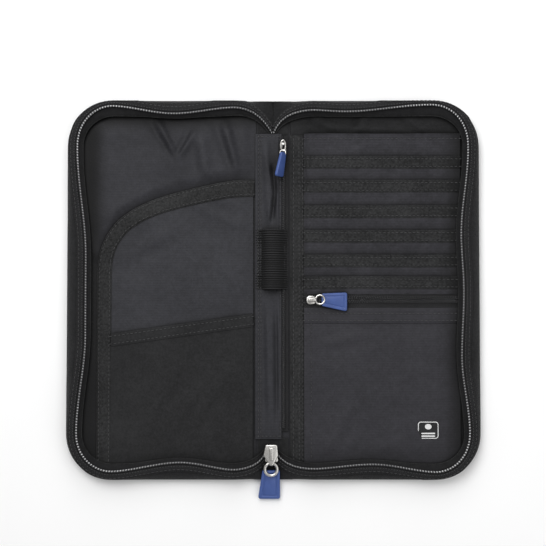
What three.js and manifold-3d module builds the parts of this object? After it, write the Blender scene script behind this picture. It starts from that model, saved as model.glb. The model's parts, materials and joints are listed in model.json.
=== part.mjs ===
// A zip-round travel wallet for a passport and papers, lying open flat like a book.
// Millimetres. The origin is the middle of the spine's underside: +X to the right cover, +Y to the top
// edge, +Z up. Each cover turns on a line along the spine's edge, at the level of the underside.
import * as THREE from "three";
import { mergeVertices } from "three/addons/utils/BufferGeometryUtils.js";
import Module from "manifold-3d";

const wasm = await Module();
wasm.setup();

// ---- Driving sizes ------------------------------------------------------------------------------
const height = 241;
const coverWidth = 119.3; // from the fold line to the outer edge
const spineWidth = 24; // the closed wallet's thickness
const cornerRadius = 29;
const gap = 0.3; // between sheets that lie on each other

const skin = 0.8; // outer fabric
const boardThickness = 1;
const spineBoardThickness = 0.8;
const liningThickness = 0.4;
const sheetInset = 1; // board and lining stop this far inside the outer edge

const penDiameter = 7; // the loop takes a pen this thick
const loopLength = 38;
const loopMiddleY = 19; // over the middle of the spine
const elasticThickness = 0.8;

const coilPitchWidth = 2.2; // one half of the main zip's coil
const coilHeight = 1.4;
const tapeThickness = 0.5;

const ringWire = 1.96; // the main pull's ring
const ringOuter = 9.8;
const pullLength = 18;
const pullNarrow = 11;
const pullWide = 13.9;

const slotCount = 7;
const slotPitch = 15.3;
const slotsBelowTop = 21.2;
const lastSlotDepth = 14.2; // from the last slot's edge to the pocket zip's middle
const slotHem = 7.6;
const slotOverlap = 8; // a card strip carries on behind the next one

const badgeWidth = 13;
const badgeHeight = 10.7;
const badgeFromSide = 33.2;
const badgeFromBottom = 31.2;

const pocketBelowTop = 50.6; // document pocket's edge at the spine
const pocketFromSide = 19.3;
const bindingWidth = 9.6;
const meshInnerHeight = 104.8; // the lower pocket's top over the bottom edge, at the spine
const meshOuterHeight = 92.1; // and at its outer end
const meshHem = 8;

// ---- Levels and places worked out from them -----------------------------------------------------
const hingeX = spineWidth / 2;
const outerX = hingeX + coverWidth;
const topY = height / 2;
const boardLow = skin + gap;
const boardHigh = boardLow + boardThickness;
const liningLow = boardHigh + gap;
const liningHigh = liningLow + liningThickness;
const contentLow = liningHigh + gap;
const coverStart = liningHigh + gap; // board and lining clear the spine's stack when folded
const skinStart = skin + gap;
const wallTop = hingeX - 0.6; // both halves meet at the middle when closed
const coilLow = wallTop - coilHeight;
const tapeLow = coilLow - gap - tapeThickness;
const wallShoulder = tapeLow - gap;
const wallFootDepth = 2.6; // the wall's foot reaches this far inside the coil
const wallStart = 11; // from the fold line: the spine's slider stands under the folded walls
const spineHalf = hingeX - skin - gap;
const spineBoardHigh = boardLow + spineBoardThickness;
const spineTop = spineBoardHigh + gap + liningThickness;
const onSpine = spineTop + gap;
const firstSlotEdge = topY - slotsBelowTop;
const zipPocketY = firstSlotEdge - (slotCount - 1) * slotPitch - lastSlotDepth;
const clearHalf = hingeX - liningHigh - gap; // what stands on the spine stays inside the folded covers

// ---- Making solids ------------------------------------------------------------------------------
const group = new THREE.Group();
const fabric = { color: 0x2a2a2d, roughness: 0.9, metalness: 0 };
const nylon = { color: 0x3d3d42, roughness: 0.6, metalness: 0 };
const boardLook = { color: 0x1c1c1e, roughness: 0.8, metalness: 0 };
const coilLook = { color: 0x1a1a1c, roughness: 0.35, metalness: 0 };
const steel = { color: 0xd8d6d0, roughness: 0.2, metalness: 1 };
const blueRubber = { color: 0x44589a, roughness: 0.55, metalness: 0 };
const foil = { color: 0x9a9a9e, roughness: 0.4, metalness: 0.6 };

function addMesh(parent, name, geometry, look) {
  const mesh = new THREE.Mesh(geometry, new THREE.MeshStandardMaterial(look));
  mesh.name = name;
  parent.add(mesh);
  return mesh;
}

// A closed outline through corners [x, y, fillet radius], each fillet an arc.
function outline(corners) {
  const shape = new THREE.Shape();
  corners.forEach(([x, y, radius = 0], i) => {
    const corner = new THREE.Vector2(x, y);
    if (radius === 0) {
      i ? shape.lineTo(x, y) : shape.moveTo(x, y);
      return;
    }
    const before = corners.at(i - 1);
    const after = corners[(i + 1) % corners.length];
    const back = new THREE.Vector2(before[0], before[1]).sub(corner).normalize();
    const on = new THREE.Vector2(after[0], after[1]).sub(corner).normalize();
    const half = Math.acos(THREE.MathUtils.clamp(back.dot(on), -1, 1)) / 2;
    const reach = radius / Math.tan(half);
    const middle = back.clone().add(on).normalize().multiplyScalar(radius / Math.sin(half)).add(corner);
    const start = back.multiplyScalar(reach).add(corner);
    const end = on.multiplyScalar(reach).add(corner);
    const from = Math.atan2(start.y - middle.y, start.x - middle.x);
    const to = Math.atan2(end.y - middle.y, end.x - middle.x);
    const turn = Math.sin(to - from) < 0;
    i ? shape.lineTo(start.x, start.y) : shape.moveTo(start.x, start.y);
    shape.absarc(middle.x, middle.y, radius, from, to, turn);
  });
  shape.closePath();
  return shape;
}

// A flat sheet of the given outline between two levels.
function sheet(corners, low, high, curveSegments = 8) {
  const geometry = new THREE.ExtrudeGeometry(outline(corners), {
    depth: high - low,
    bevelEnabled: false,
    curveSegments,
  });
  return geometry.translate(0, 0, low);
}

function strip(x0, x1, y0, y1, low, high) {
  return sheet([[x0, y0], [x1, y0], [x1, y1], [x0, y1]], low, high);
}

function solidOf(geometry) {
  const bare = geometry.index ? geometry.toNonIndexed() : geometry.clone();
  bare.deleteAttribute("normal");
  bare.deleteAttribute("uv");
  const merged = mergeVertices(bare, 1e-4);
  return new wasm.Manifold(
    new wasm.Mesh({
      numProp: 3,
      vertProperties: merged.attributes.position.array,
      triVerts: new Uint32Array(merged.index.array),
    }),
  );
}

function geometryOf(solid) {
  const mesh = solid.getMesh();
  return new THREE.BufferGeometry()
    .setAttribute("position", new THREE.BufferAttribute(mesh.vertProperties, 3))
    .setIndex(new THREE.BufferAttribute(mesh.triVerts, 1));
}

const join = (a, b) => geometryOf(solidOf(a).add(solidOf(b)));
const cut = (a, b) => geometryOf(solidOf(a).subtract(solidOf(b)));

// A closed body swept through stations. Each gives an origin, its inward direction and a section of
// [inward distance, level] points.
function sweep(stations, side) {
  const count = stations[0].section.length;
  const positions = [];
  for (const { x, y, inX, inY, section } of stations)
    for (const [d, z] of section) positions.push(side * (x + inX * d), y + inY * d, z);
  const faces = [];
  const add = (a, b, c) => (side < 0 ? faces.push(a, b, c) : faces.push(a, c, b));
  for (let i = 0; i + 1 < stations.length; i++)
    for (let j = 0; j < count; j++) {
      const a = i * count + j;
      const b = i * count + ((j + 1) % count);
      add(a, b, a + count);
      add(b, b + count, a + count);
    }
  const flat = stations[0].section.map(([d, z]) => new THREE.Vector2(d, z));
  const last = (stations.length - 1) * count;
  for (const [a, b, c] of THREE.ShapeUtils.triangulateShape(flat, [])) {
    add(a, c, b);
    add(last + a, last + b, last + c);
  }
  return new THREE.BufferGeometry()
    .setAttribute("position", new THREE.Float32BufferAttribute(positions, 3))
    .setIndex(faces);
}

// ---- The covers' walls --------------------------------------------------------------------------
// The walk round a cover: along the top edge from the spine, round the outer side, back along the
// bottom. leans holds [share of the walk, how far the coil leans in over the cover].
function walk(leans, sectionOf) {
  const straight = coverWidth - wallStart - cornerRadius;
  const side = height - 2 * cornerRadius;
  const arc = (Math.PI / 2) * cornerRadius;
  const total = 2 * straight + 2 * arc + side;
  const stops = [];
  const fill = (from, to, steps) => {
    for (let i = stops.length ? 1 : 0; i <= steps; i++) stops.push(from + ((to - from) * i) / steps);
  };
  fill(0, straight, 8);
  fill(straight, straight + arc, 6);
  fill(straight + arc, straight + arc + side, 12);
  fill(straight + arc + side, total - straight, 6);
  fill(total - straight, total, 8);
  return stops.map((s) => {
    const lean = leanAt(leans, s / total);
    return { ...placeAt(s, straight, arc, side), section: sectionOf(lean) };
  });
}

function placeAt(s, straight, arc, side) {
  const cx = outerX - cornerRadius;
  const cy = topY - cornerRadius;
  if (s <= straight) return { x: hingeX + wallStart + s, y: topY, inX: 0, inY: -1 };
  if (s <= straight + arc) return onArc(cx, cy, Math.PI / 2 - (s - straight) / cornerRadius);
  if (s <= straight + arc + side) return { x: outerX, y: cy - (s - straight - arc), inX: -1, inY: 0 };
  if (s <= straight + 2 * arc + side)
    return onArc(cx, -cy, -(s - straight - arc - side) / cornerRadius);
  return { x: cx - (s - straight - 2 * arc - side), y: -topY, inX: 0, inY: 1 };
}

function onArc(cx, cy, angle) {
  const x = Math.cos(angle);
  const y = Math.sin(angle);
  return { x: cx + cornerRadius * x, y: cy + cornerRadius * y, inX: -x, inY: -y };
}

function leanAt(leans, share) {
  const next = Math.max(1, leans.findIndex(([at]) => at >= share));
  const [from, low] = leans[next - 1];
  const [to, high] = leans[next];
  return low + (high - low) * THREE.MathUtils.smoothstep(share, from, to);
}

const tapeReach = 5.4; // tape showing outside the coil

function wallSection(lean) {
  const shoulder = Math.max(0.6, lean - tapeReach);
  return [
    [0.3, contentLow],
    [lean + wallFootDepth, contentLow],
    [lean + 0.5, wallShoulder - 1.6],
    [lean - 0.8, wallShoulder],
    [shoulder, wallShoulder],
    [0.3, contentLow + 2.4],
  ];
}

const bandSection = (inner, outer, low, high) => [[outer, low], [inner, low], [inner, high], [outer, high]];
const tapeSection = (lean) =>
  bandSection(lean - 0.3, Math.max(0.3, lean - tapeReach), tapeLow, tapeLow + tapeThickness);
const coilSection = (lean) =>
  bandSection(lean + 0.3, lean + 0.3 - coilPitchWidth, coilLow, coilLow + coilHeight);

const bottomLean = 10.8; // the deepest along the bottom edge
const leftLeans = [
  [0, 4], [0.095, 8], [0.19, 3], [0.29, 6], [0.45, 11.8], [0.57, 11.8], [0.71, 6.3], [0.81, 5],
  [0.917, bottomLean], [1, 6],
];
const rightLeans = [
  [0, 5.7], [0.055, 6.7], [0.18, 2.3], [0.29, 6.7], [0.42, 11.5], [0.5, 10], [0.6, 11.5], [0.71, 6.7],
  [0.81, 4.6], [0.907, 9.6], [1, 6.7],
];
const deepestLean = Math.max(...[...leftLeans, ...rightLeans].map(([, lean]) => lean));
const contentOuterX = outerX - deepestLean - wallFootDepth - gap; // pockets stop at the walls' feet
const contentBottomY = -(topY - bottomLean - wallFootDepth - gap);
const contentCorner = cornerRadius - deepestLean - wallFootDepth - gap;

// The whole cover's outline from a start distance off the fold line, inset from the edge.
function coverOutline(side, start, inset) {
  const x0 = side * (hingeX + start);
  const x1 = side * (outerX - inset);
  const y = topY - inset;
  const radius = cornerRadius - inset;
  return [[x0, -y], [x1, -y, radius], [x1, y, radius], [x0, y]];
}

function addCover(parent, name, side, leans) {
  addMesh(parent, name + "_outer_skin", sheet(coverOutline(side, skinStart, 0), 0, skin), fabric);
  addMesh(
    parent,
    name + "_board",
    sheet(coverOutline(side, coverStart, sheetInset), boardLow, boardHigh),
    boardLook,
  );
  addMesh(
    parent,
    name + "_lining",
    sheet(coverOutline(side, coverStart, sheetInset), liningLow, liningHigh),
    nylon,
  );
  addMesh(parent, name + "_gusset", sweep(walk(leans, wallSection), side), fabric);
  addMesh(parent, name + "_zip_tape", sweep(walk(leans, tapeSection), side), fabric);
  addMesh(parent, name + "_zip_coil", sweep(walk(leans, coilSection), side), coilLook);
}

// ---- Zip sliders and pulls ----------------------------------------------------------------------
// Both are made about the point where the ring hangs in the bridge, with the pull lying towards -Y.
function sliderBody({ width, length, back, low, channel, plate, ringHalf }) {
  const top = -ringHalf - gap;
  const bottom = low;
  const half = width / 2;
  const inner = channel / 2;
  const ceiling = top - plate;
  const profile = outline([
    [-half, bottom], [-inner, bottom], [-inner, ceiling], [inner, ceiling],
    [inner, bottom], [half, bottom], [half, top], [-half, top],
  ]);
  const geometry = new THREE.ExtrudeGeometry(profile, { depth: length, bevelEnabled: false });
  return geometry.rotateX(Math.PI / 2).translate(0, back, 0);
}

function sliderBridge({ shieldWidth, shieldLength, tip, cap, ringHalf, post }) {
  const low = ringHalf + gap;
  const back = shieldLength - tip;
  const half = shieldWidth / 2;
  const shield = sheet(
    [
      [-half * 0.72, back, 0.6],
      [-half, back - shieldLength * 0.5, shieldLength * 0.12],
      [-half * 0.28, 0.2],
      [-half * 0.16, -tip],
      [half * 0.16, -tip],
      [half * 0.28, 0.2],
      [half, back - shieldLength * 0.5, shieldLength * 0.12],
      [half * 0.72, back, 0.6],
    ],
    low,
    low + cap,
    3,
  );
  const foot = -ringHalf;
  const front = strip(-post / 2, post / 2, -tip - 0.2, -ringHalf - 0.35, foot, low + cap * 0.7);
  const rear = strip(-post / 2, post / 2, ringHalf + 0.5, ringHalf + 0.5 + post, foot, low + cap * 0.7);
  return join(join(shield, front), rear);
}

function ringGeometry(meanRadius, wireRadius, drop) {
  const ring = new THREE.TorusGeometry(meanRadius, wireRadius, 8, 20);
  return ring.translate(0, -meanRadius, 0).rotateX(drop);
}

// The rubber tab: a rounded trapezoid whose narrow end takes the ring through a hole.
function tabGeometry({ near, length, narrow, wide, thickness, rise, slope, twist, yaw }) {
  const n = narrow / 2;
  const w = wide / 2;
  const round = narrow * 0.14;
  const plate = sheet(
    [[-n, -near, round], [-w, -near - length, round], [w, -near - length, round], [n, -near, round]],
    -thickness / 2,
    thickness / 2,
    3,
  );
  return plate.rotateY(twist).translate(0, near, 0).rotateX(slope).rotateZ(yaw).translate(0, -near, rise);
}

// fall is how far the ring's far side lies below its crossing; bar is the rubber inside the ring.
function addPull(parent, name, meanRadius, wireRadius, fall, bar, tab) {
  const drop = Math.asin(fall / (2 * meanRadius));
  const near = 2 * meanRadius - wireRadius - bar;
  addMesh(parent, name + "_ring", ringGeometry(meanRadius, wireRadius, drop), steel);
  const clearance = ringGeometry(meanRadius, wireRadius + gap, drop);
  addMesh(parent, name + "_tab", cut(tabGeometry({ near, ...tab }), clearance), blueRubber);
}

// ---- Spine --------------------------------------------------------------------------------------
const spine = new THREE.Group();
group.add(spine);
const skinHalf = hingeX - gap;
const sideTapeHalf = 2.3;
const sideZipX = clearHalf - sideTapeHalf;
const spineEndInset = 1;
const spineEnd = topY - spineEndInset;
addMesh(spine, "spine_outer_skin", strip(-skinHalf, skinHalf, -topY, topY, 0, skin), fabric);
addMesh(
  spine,
  "spine_board",
  strip(-spineHalf, spineHalf, -spineEnd, spineEnd, boardLow, spineBoardHigh),
  boardLook,
);
addMesh(
  spine,
  "spine_lining",
  strip(-spineHalf, spineHalf, -spineEnd, spineEnd, spineBoardHigh + gap, spineTop),
  nylon,
);

// Pen loop: an elastic band that arches over the pen, with its left tail sewn flat.
const loopInnerRight = sideZipX - sideTapeHalf - 4 * gap - elasticThickness;
const loopInnerLeft = loopInnerRight - penDiameter;
const loopInnerTop = onSpine + penDiameter - 1.6;
const loopTailX = -clearHalf;
const loopProfile = outline([
  [loopTailX, onSpine],
  [loopInnerLeft, onSpine],
  [loopInnerLeft, loopInnerTop, 2],
  [loopInnerRight, loopInnerTop, 2],
  [loopInnerRight, onSpine],
  [loopInnerRight + elasticThickness, onSpine],
  [loopInnerRight + elasticThickness, loopInnerTop + elasticThickness, 2.8],
  [loopInnerLeft - elasticThickness, loopInnerTop + elasticThickness, 2.8],
  [loopInnerLeft - elasticThickness, onSpine + elasticThickness],
  [loopTailX, onSpine + elasticThickness],
]);
addMesh(
  spine,
  "pen_loop",
  new THREE.ExtrudeGeometry(loopProfile, { depth: loopLength, bevelEnabled: false, curveSegments: 4 })
    .rotateX(Math.PI / 2)
    .translate(0, loopMiddleY + loopLength / 2, 0),
  fabric,
);

// Side zip: it opens the pocket behind the card panel.
const sideZipTop = topY - 28.5;
const sideZipBottom = -topY + 32.5;
const sideTape = 0.4;
const sideChainHalf = 1.1;
const sideChainHeight = 0.8;
const sideTapeHigh = onSpine + sideTape;
const sideChainLow = sideTapeHigh + gap;
addMesh(
  spine,
  "side_zip_inner_tape",
  strip(sideZipX - sideTapeHalf, sideZipX - gap / 2, sideZipBottom, sideZipTop + 6, onSpine, sideTapeHigh),
  fabric,
);
addMesh(
  spine,
  "side_zip_outer_tape",
  strip(sideZipX + gap / 2, sideZipX + sideTapeHalf, sideZipBottom, sideZipTop + 6, onSpine, sideTapeHigh),
  fabric,
);
addMesh(
  spine,
  "side_zip_chain",
  strip(
    sideZipX - sideChainHalf,
    sideZipX + sideChainHalf,
    sideZipBottom,
    sideZipTop,
    sideChainLow,
    sideChainLow + sideChainHeight,
  ),
  coilLook,
);

// The main zip's two ends are sewn to a tab at each end of the spine.
const endTabHalf = 3.6;
const mainSliderX = -1.4;
const mainCrossY = -topY + 10.8;
addMesh(
  spine,
  "zip_bottom_tab",
  strip(
    mainSliderX - endTabHalf,
    mainSliderX + endTabHalf,
    mainCrossY - 1.5,
    mainCrossY + 13.2,
    onSpine,
    onSpine + 0.4,
  ),
  fabric,
);
addMesh(
  spine,
  "zip_top_tab",
  strip(-clearHalf, clearHalf, sideZipTop + 8, spineEnd - 1, onSpine, onSpine + 1.2),
  fabric,
);

// Main slider, over the bottom end of the spine, and its pull.
const mainRingHalf = ringWire / 2;
const mainRingMean = (ringOuter - ringWire) / 2;
const mainChannelHeight = 2;
const mainPlate = 0.8;
const mainBase = onSpine + 0.4 + gap;
const mainCrossZ = mainBase + mainChannelHeight + mainPlate + gap + mainRingHalf;
const mainPlace = [mainSliderX, mainCrossY, mainCrossZ];
const mainSlider = new THREE.Group();
mainSlider.position.set(...mainPlace);
spine.add(mainSlider);
addMesh(
  mainSlider,
  "main_slider_body",
  sliderBody({
    width: 8.4,
    length: 10.2,
    back: 9.8,
    low: mainBase - mainCrossZ,
    channel: 6,
    plate: mainPlate,
    ringHalf: mainRingHalf,
  }),
  steel,
);
addMesh(
  mainSlider,
  "main_slider_bridge",
  sliderBridge({
    shieldWidth: 10.4,
    shieldLength: 13.8,
    tip: 2.2,
    cap: 0.9,
    ringHalf: mainRingHalf,
    post: 1.6,
  }),
  steel,
);
const mainPull = new THREE.Group();
mainPull.position.set(...mainPlace);
group.add(mainPull);
addPull(mainPull, "main_pull", mainRingMean, mainRingHalf, 3.32, 1.56, {
  length: pullLength,
  narrow: pullNarrow,
  wide: pullWide,
  thickness: 2.2,
  rise: -1.1,
  slope: THREE.MathUtils.degToRad(13),
  twist: 0,
  yaw: THREE.MathUtils.degToRad(-4),
});

// Side zip's slider and pull. Its tab stands on edge, leaning left over the spine.
const smallWire = 1;
const sideRingMean = 1.8;
const sideRingHalf = smallWire / 2;
const sidePlate = 0.5;
const sideBase = sideTapeHigh + gap;
const sideCrossZ = sideBase + sideChainHeight + gap + sidePlate + gap + sideRingHalf;
const sidePlace = [sideZipX, sideZipTop - 3.2, sideCrossZ];
const sideSlider = new THREE.Group();
sideSlider.position.set(...sidePlace);
group.add(sideSlider);
addMesh(
  sideSlider,
  "side_slider_body",
  sliderBody({
    width: 2 * sideTapeHalf,
    length: 6.4,
    back: 5.2,
    low: sideBase - sideCrossZ,
    channel: 2 * sideChainHalf + 2 * gap,
    plate: sidePlate,
    ringHalf: sideRingHalf,
  }),
  steel,
);
addMesh(
  sideSlider,
  "side_slider_bridge",
  sliderBridge({
    shieldWidth: 2.6,
    shieldLength: 5.4,
    tip: 1.5,
    cap: 0.5,
    ringHalf: sideRingHalf,
    post: 1,
  }),
  steel,
);
const sidePull = new THREE.Group();
sidePull.position.set(...sidePlace);
group.add(sidePull);
addPull(sidePull, "side_pull", sideRingMean, sideRingHalf, -0.87, 1.1, {
  length: 15,
  narrow: 5.4,
  wide: 8.4,
  thickness: 1.6,
  rise: 1.6,
  slope: THREE.MathUtils.degToRad(-4),
  twist: THREE.MathUtils.degToRad(60),
  yaw: THREE.MathUtils.degToRad(-10),
});

// ---- Left cover ---------------------------------------------------------------------------------
const left = new THREE.Group();
group.add(left);
addCover(left, "left", -1, leftLeans);

const leftContentX = -(hingeX + 4);
const pocketThickness = 0.5;
const pocketLow = contentLow;
const pocketHigh = pocketLow + pocketThickness;
const pocketTopY = topY - pocketBelowTop;
const pocketOuterX = -(outerX - pocketFromSide);
const pocketCornerY = pocketTopY - 25.9;
const pocketSlopeX = -(hingeX + 0.385 * coverWidth);
const pocketSlopeY = pocketTopY - 6.4;
const pocketCorner = [pocketOuterX, pocketCornerY, 26];
const pocketSlope = [pocketSlopeX, pocketSlopeY, 90];
addMesh(
  left,
  "document_pocket",
  sheet(
    [
      [leftContentX, contentBottomY],
      [pocketOuterX, contentBottomY, contentCorner],
      pocketCorner,
      pocketSlope,
      [leftContentX, pocketTopY],
    ],
    pocketLow,
    pocketHigh,
  ),
  nylon,
);
const trimLow = pocketHigh + gap;
const bindingThickness = 0.8;
const bindingInnerX = pocketOuterX + bindingWidth;
addMesh(
  left,
  "document_pocket_binding",
  sheet(
    [
      [pocketOuterX, contentBottomY, bindingWidth * 0.9],
      pocketCorner,
      pocketSlope,
      [leftContentX, pocketTopY],
      [leftContentX, pocketTopY - bindingWidth - 1.2],
      [pocketSlopeX + 1, pocketSlopeY - bindingWidth - 1, 80],
      [bindingInnerX, pocketCornerY - bindingWidth, 17],
      [bindingInnerX, contentBottomY],
    ],
    trimLow,
    trimLow + bindingThickness,
  ),
  fabric,
);

// The lower pocket's top slants up towards the spine.
const meshOuterX = bindingInnerX + gap;
const meshTopOuter = -topY + meshOuterHeight;
const meshTopInner = -topY + meshInnerHeight;
addMesh(
  left,
  "mesh_pocket",
  sheet(
    [
      [leftContentX, contentBottomY],
      [meshOuterX, contentBottomY],
      [meshOuterX, meshTopOuter],
      [leftContentX, meshTopInner],
    ],
    trimLow,
    trimLow + liningThickness,
  ),
  fabric,
);
const hemLow = trimLow + liningThickness + gap;
addMesh(
  left,
  "mesh_pocket_hem",
  sheet(
    [
      [leftContentX, meshTopInner - meshHem],
      [meshOuterX, meshTopOuter - meshHem],
      [meshOuterX, meshTopOuter],
      [leftContentX, meshTopInner],
    ],
    hemLow,
    hemLow + 0.6,
  ),
  fabric,
);

// ---- Right cover --------------------------------------------------------------------------------
const right = new THREE.Group();
group.add(right);
addCover(right, "right", 1, rightLeans);

const rightContentX = hingeX + 9; // clears the side zip's slider when folded
const shieldThickness = 0.3;
const panelTopY = firstSlotEdge;
addMesh(
  right,
  "shield_sheet",
  sheet(
    [
      [rightContentX + 1, contentBottomY + 1],
      [contentOuterX - 1, contentBottomY + 1, contentCorner],
      [contentOuterX - 1, panelTopY - 2],
      [rightContentX + 1, panelTopY - 2],
    ],
    contentLow,
    contentLow + shieldThickness,
  ),
  foil,
);
const panelLow = contentLow + shieldThickness + gap;
const zipTapeHigh = panelLow + 0.4;
const sideBindingWidth = 2.6;
const sheetThickness = 0.35;
addMesh(
  right,
  "side_zip_binding",
  strip(rightContentX, rightContentX + sideBindingWidth, contentBottomY, panelTopY, panelLow, zipTapeHigh),
  fabric,
);
const slotX = rightContentX + sideBindingWidth + gap;
const slotRise = 0.8; // a strip's top edge stands this much over its foot
const zipUpperEdge = zipPocketY + 3.8;

// Card strips lie like roof tiles, each one's foot behind the next one's hem.
for (let i = 0; i < slotCount; i++) {
  const edge = firstSlotEdge - i * slotPitch;
  const last = i === slotCount - 1;
  const length = last ? edge - zipUpperEdge - gap : slotPitch + slotOverlap;
  const tile = new THREE.Group();
  tile.position.set(0, edge, panelLow + slotRise);
  tile.rotation.x = Math.asin(slotRise / (slotPitch + slotOverlap));
  right.add(tile);
  addMesh(
    tile,
    "card_slot_" + (i + 1),
    strip(slotX, contentOuterX, -length, 0, 0, sheetThickness),
    nylon,
  );
  if (i > 0)
    addMesh(
      tile,
      "card_slot_hem_" + (i + 1),
      strip(slotX, contentOuterX, -slotHem, 0, sheetThickness + gap, sheetThickness + gap + 0.4),
      fabric,
    );
}

// Zip pocket under the card strips.
const pocketChainHalf = 1.9;
const pocketChainHeight = 0.8;
const zipLowerEdge = zipPocketY - 5.3;
addMesh(
  right,
  "pocket_zip_upper_tape",
  strip(slotX, contentOuterX, zipPocketY + gap / 2, zipUpperEdge, panelLow, zipTapeHigh),
  fabric,
);
addMesh(
  right,
  "pocket_zip_lower_tape",
  strip(slotX, contentOuterX, zipLowerEdge, zipPocketY - gap / 2, panelLow, zipTapeHigh),
  fabric,
);
const pocketChainLow = zipTapeHigh + gap;
addMesh(
  right,
  "pocket_zip_chain",
  strip(
    slotX,
    contentOuterX,
    zipPocketY - pocketChainHalf,
    zipPocketY + pocketChainHalf,
    pocketChainLow,
    pocketChainLow + pocketChainHeight,
  ),
  coilLook,
);
const frontTop = zipLowerEdge - gap;
const frontHem = 9.6;
const frontThickness = 0.5;
const onFront = panelLow + frontThickness + gap;
addMesh(
  right,
  "zip_pocket_panel",
  sheet(
    [
      [slotX, contentBottomY],
      [contentOuterX, contentBottomY, contentCorner],
      [contentOuterX, frontTop],
      [slotX, frontTop],
    ],
    panelLow,
    panelLow + frontThickness,
  ),
  nylon,
);
addMesh(
  right,
  "zip_pocket_hem",
  strip(slotX, contentOuterX, frontTop - frontHem, frontTop, onFront, onFront + 0.6),
  fabric,
);
const badgeX = outerX - badgeFromSide;
const badgeY = -topY + badgeFromBottom;
addMesh(
  right,
  "zip_pocket_badge",
  sheet(
    [
      [badgeX - badgeWidth / 2, badgeY - badgeHeight / 2, 1.2],
      [badgeX + badgeWidth / 2, badgeY - badgeHeight / 2, 1.2],
      [badgeX + badgeWidth / 2, badgeY + badgeHeight / 2, 1.2],
      [badgeX - badgeWidth / 2, badgeY + badgeHeight / 2, 1.2],
    ],
    onFront,
    onFront + 0.4,
    3,
  ),
  fabric,
);

// Pocket slider and pull: the same pieces turned so that the pull lies towards +X.
const pocketWire = 1.3;
const pocketRingMean = (7 - pocketWire) / 2;
const pocketRingHalf = pocketWire / 2;
const pocketPlate = 0.6;
const pocketBase = zipTapeHigh + gap;
const pocketCrossZ = pocketBase + pocketChainHeight + gap + pocketPlate + gap + pocketRingHalf;
const pocketSliderBack = 5.4;
const pocketCrossX = rightContentX + pocketSliderBack + gap;
const pocketSlider = new THREE.Group();
pocketSlider.position.set(pocketCrossX, zipPocketY, pocketCrossZ);
pocketSlider.rotation.z = Math.PI / 2;
group.add(pocketSlider);
addMesh(
  pocketSlider,
  "pocket_slider_body",
  sliderBody({
    width: 6,
    length: 7,
    back: pocketSliderBack,
    low: pocketBase - pocketCrossZ,
    channel: 2 * pocketChainHalf + 2 * gap,
    plate: pocketPlate,
    ringHalf: pocketRingHalf,
  }),
  steel,
);
addMesh(
  pocketSlider,
  "pocket_slider_bridge",
  sliderBridge({
    shieldWidth: 4,
    shieldLength: 7.2,
    tip: 1.8,
    cap: 0.6,
    ringHalf: pocketRingHalf,
    post: 1.2,
  }),
  steel,
);
const pocketPull = new THREE.Group();
pocketPull.position.copy(pocketSlider.position);
pocketPull.rotation.z = Math.PI / 2;
group.add(pocketPull);
addPull(pocketPull, "pocket_pull", pocketRingMean, pocketRingHalf, 0.4, 1.15, {
  length: 15.6,
  narrow: 8,
  wide: 12,
  thickness: 1.6,
  rise: 0.1,
  slope: THREE.MathUtils.degToRad(1),
  twist: 0,
  yaw: THREE.MathUtils.degToRad(-5),
});

export default group;
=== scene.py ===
"""A zip-round travel wallet lying open: fabric, zips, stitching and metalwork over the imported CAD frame.

Sizes are in millimetres in the CAD's own frame (+X to the right cover, +Y to the top edge, +Z up) and
become metres where a mesh is made.
"""

import functools
import json
import math

import bmesh
import bpy
import numpy as np
from mathutils import Matrix, Vector


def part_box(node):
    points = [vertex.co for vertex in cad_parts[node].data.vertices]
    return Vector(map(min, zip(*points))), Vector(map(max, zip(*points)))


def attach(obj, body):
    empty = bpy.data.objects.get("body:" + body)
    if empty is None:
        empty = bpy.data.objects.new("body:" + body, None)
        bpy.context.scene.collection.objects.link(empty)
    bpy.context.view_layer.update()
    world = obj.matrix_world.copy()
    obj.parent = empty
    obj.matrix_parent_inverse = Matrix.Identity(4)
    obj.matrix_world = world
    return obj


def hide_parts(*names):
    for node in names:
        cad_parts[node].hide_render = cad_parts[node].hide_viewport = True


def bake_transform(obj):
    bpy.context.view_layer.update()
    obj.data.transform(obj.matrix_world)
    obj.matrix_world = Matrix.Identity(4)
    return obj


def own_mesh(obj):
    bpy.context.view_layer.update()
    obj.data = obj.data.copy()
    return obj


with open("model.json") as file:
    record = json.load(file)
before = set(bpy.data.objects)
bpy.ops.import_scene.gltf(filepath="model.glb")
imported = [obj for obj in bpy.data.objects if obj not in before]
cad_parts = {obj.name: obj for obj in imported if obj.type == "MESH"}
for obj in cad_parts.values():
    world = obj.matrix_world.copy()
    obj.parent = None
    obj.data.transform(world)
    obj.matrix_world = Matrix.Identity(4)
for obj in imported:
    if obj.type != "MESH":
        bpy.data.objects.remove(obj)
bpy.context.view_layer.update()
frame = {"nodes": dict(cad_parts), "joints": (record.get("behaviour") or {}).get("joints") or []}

MM = 0.001


# ---- Places read from the frame ----
def high(node):
    return np.array(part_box(node)[1]) / MM


def joint_place(name):
    found = next(j for j in frame["joints"] if j["name"] == name)
    return np.array(found["pos_m"]) / MM


HINGE = joint_place("right_cover_fold")[0]
OUTER = high("right_outer_skin")[0]
TOP = high("spine_outer_skin")[1]
WALL_TOP = high("left_zip_coil")[2]
CORNER = 29.0
RIB_PITCH = 1.62  # of the elastic
BOTTOM_INSIDE = -111.0  # pockets run down under the bottom walls' overhang
CONTENT_LOW = 3.1  # the level that the pockets and the walls' feet rest on


# ---- Numbers ----
def smooth(t):
    t = np.clip(t, 0.0, 1.0)
    return t * t * (3 - 2 * t)


def through(x, knots):
    """Smooth interpolation through (place, value) knots."""
    x = np.asarray(x, float)
    places = np.array([k[0] for k in knots], float)
    values = np.array([k[1] for k in knots], float)
    i = np.clip(np.searchsorted(places, x) - 1, 0, len(places) - 2)
    t = (x - places[i]) / (places[i + 1] - places[i])
    return values[i] + (values[i + 1] - values[i]) * smooth(t)


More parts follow.
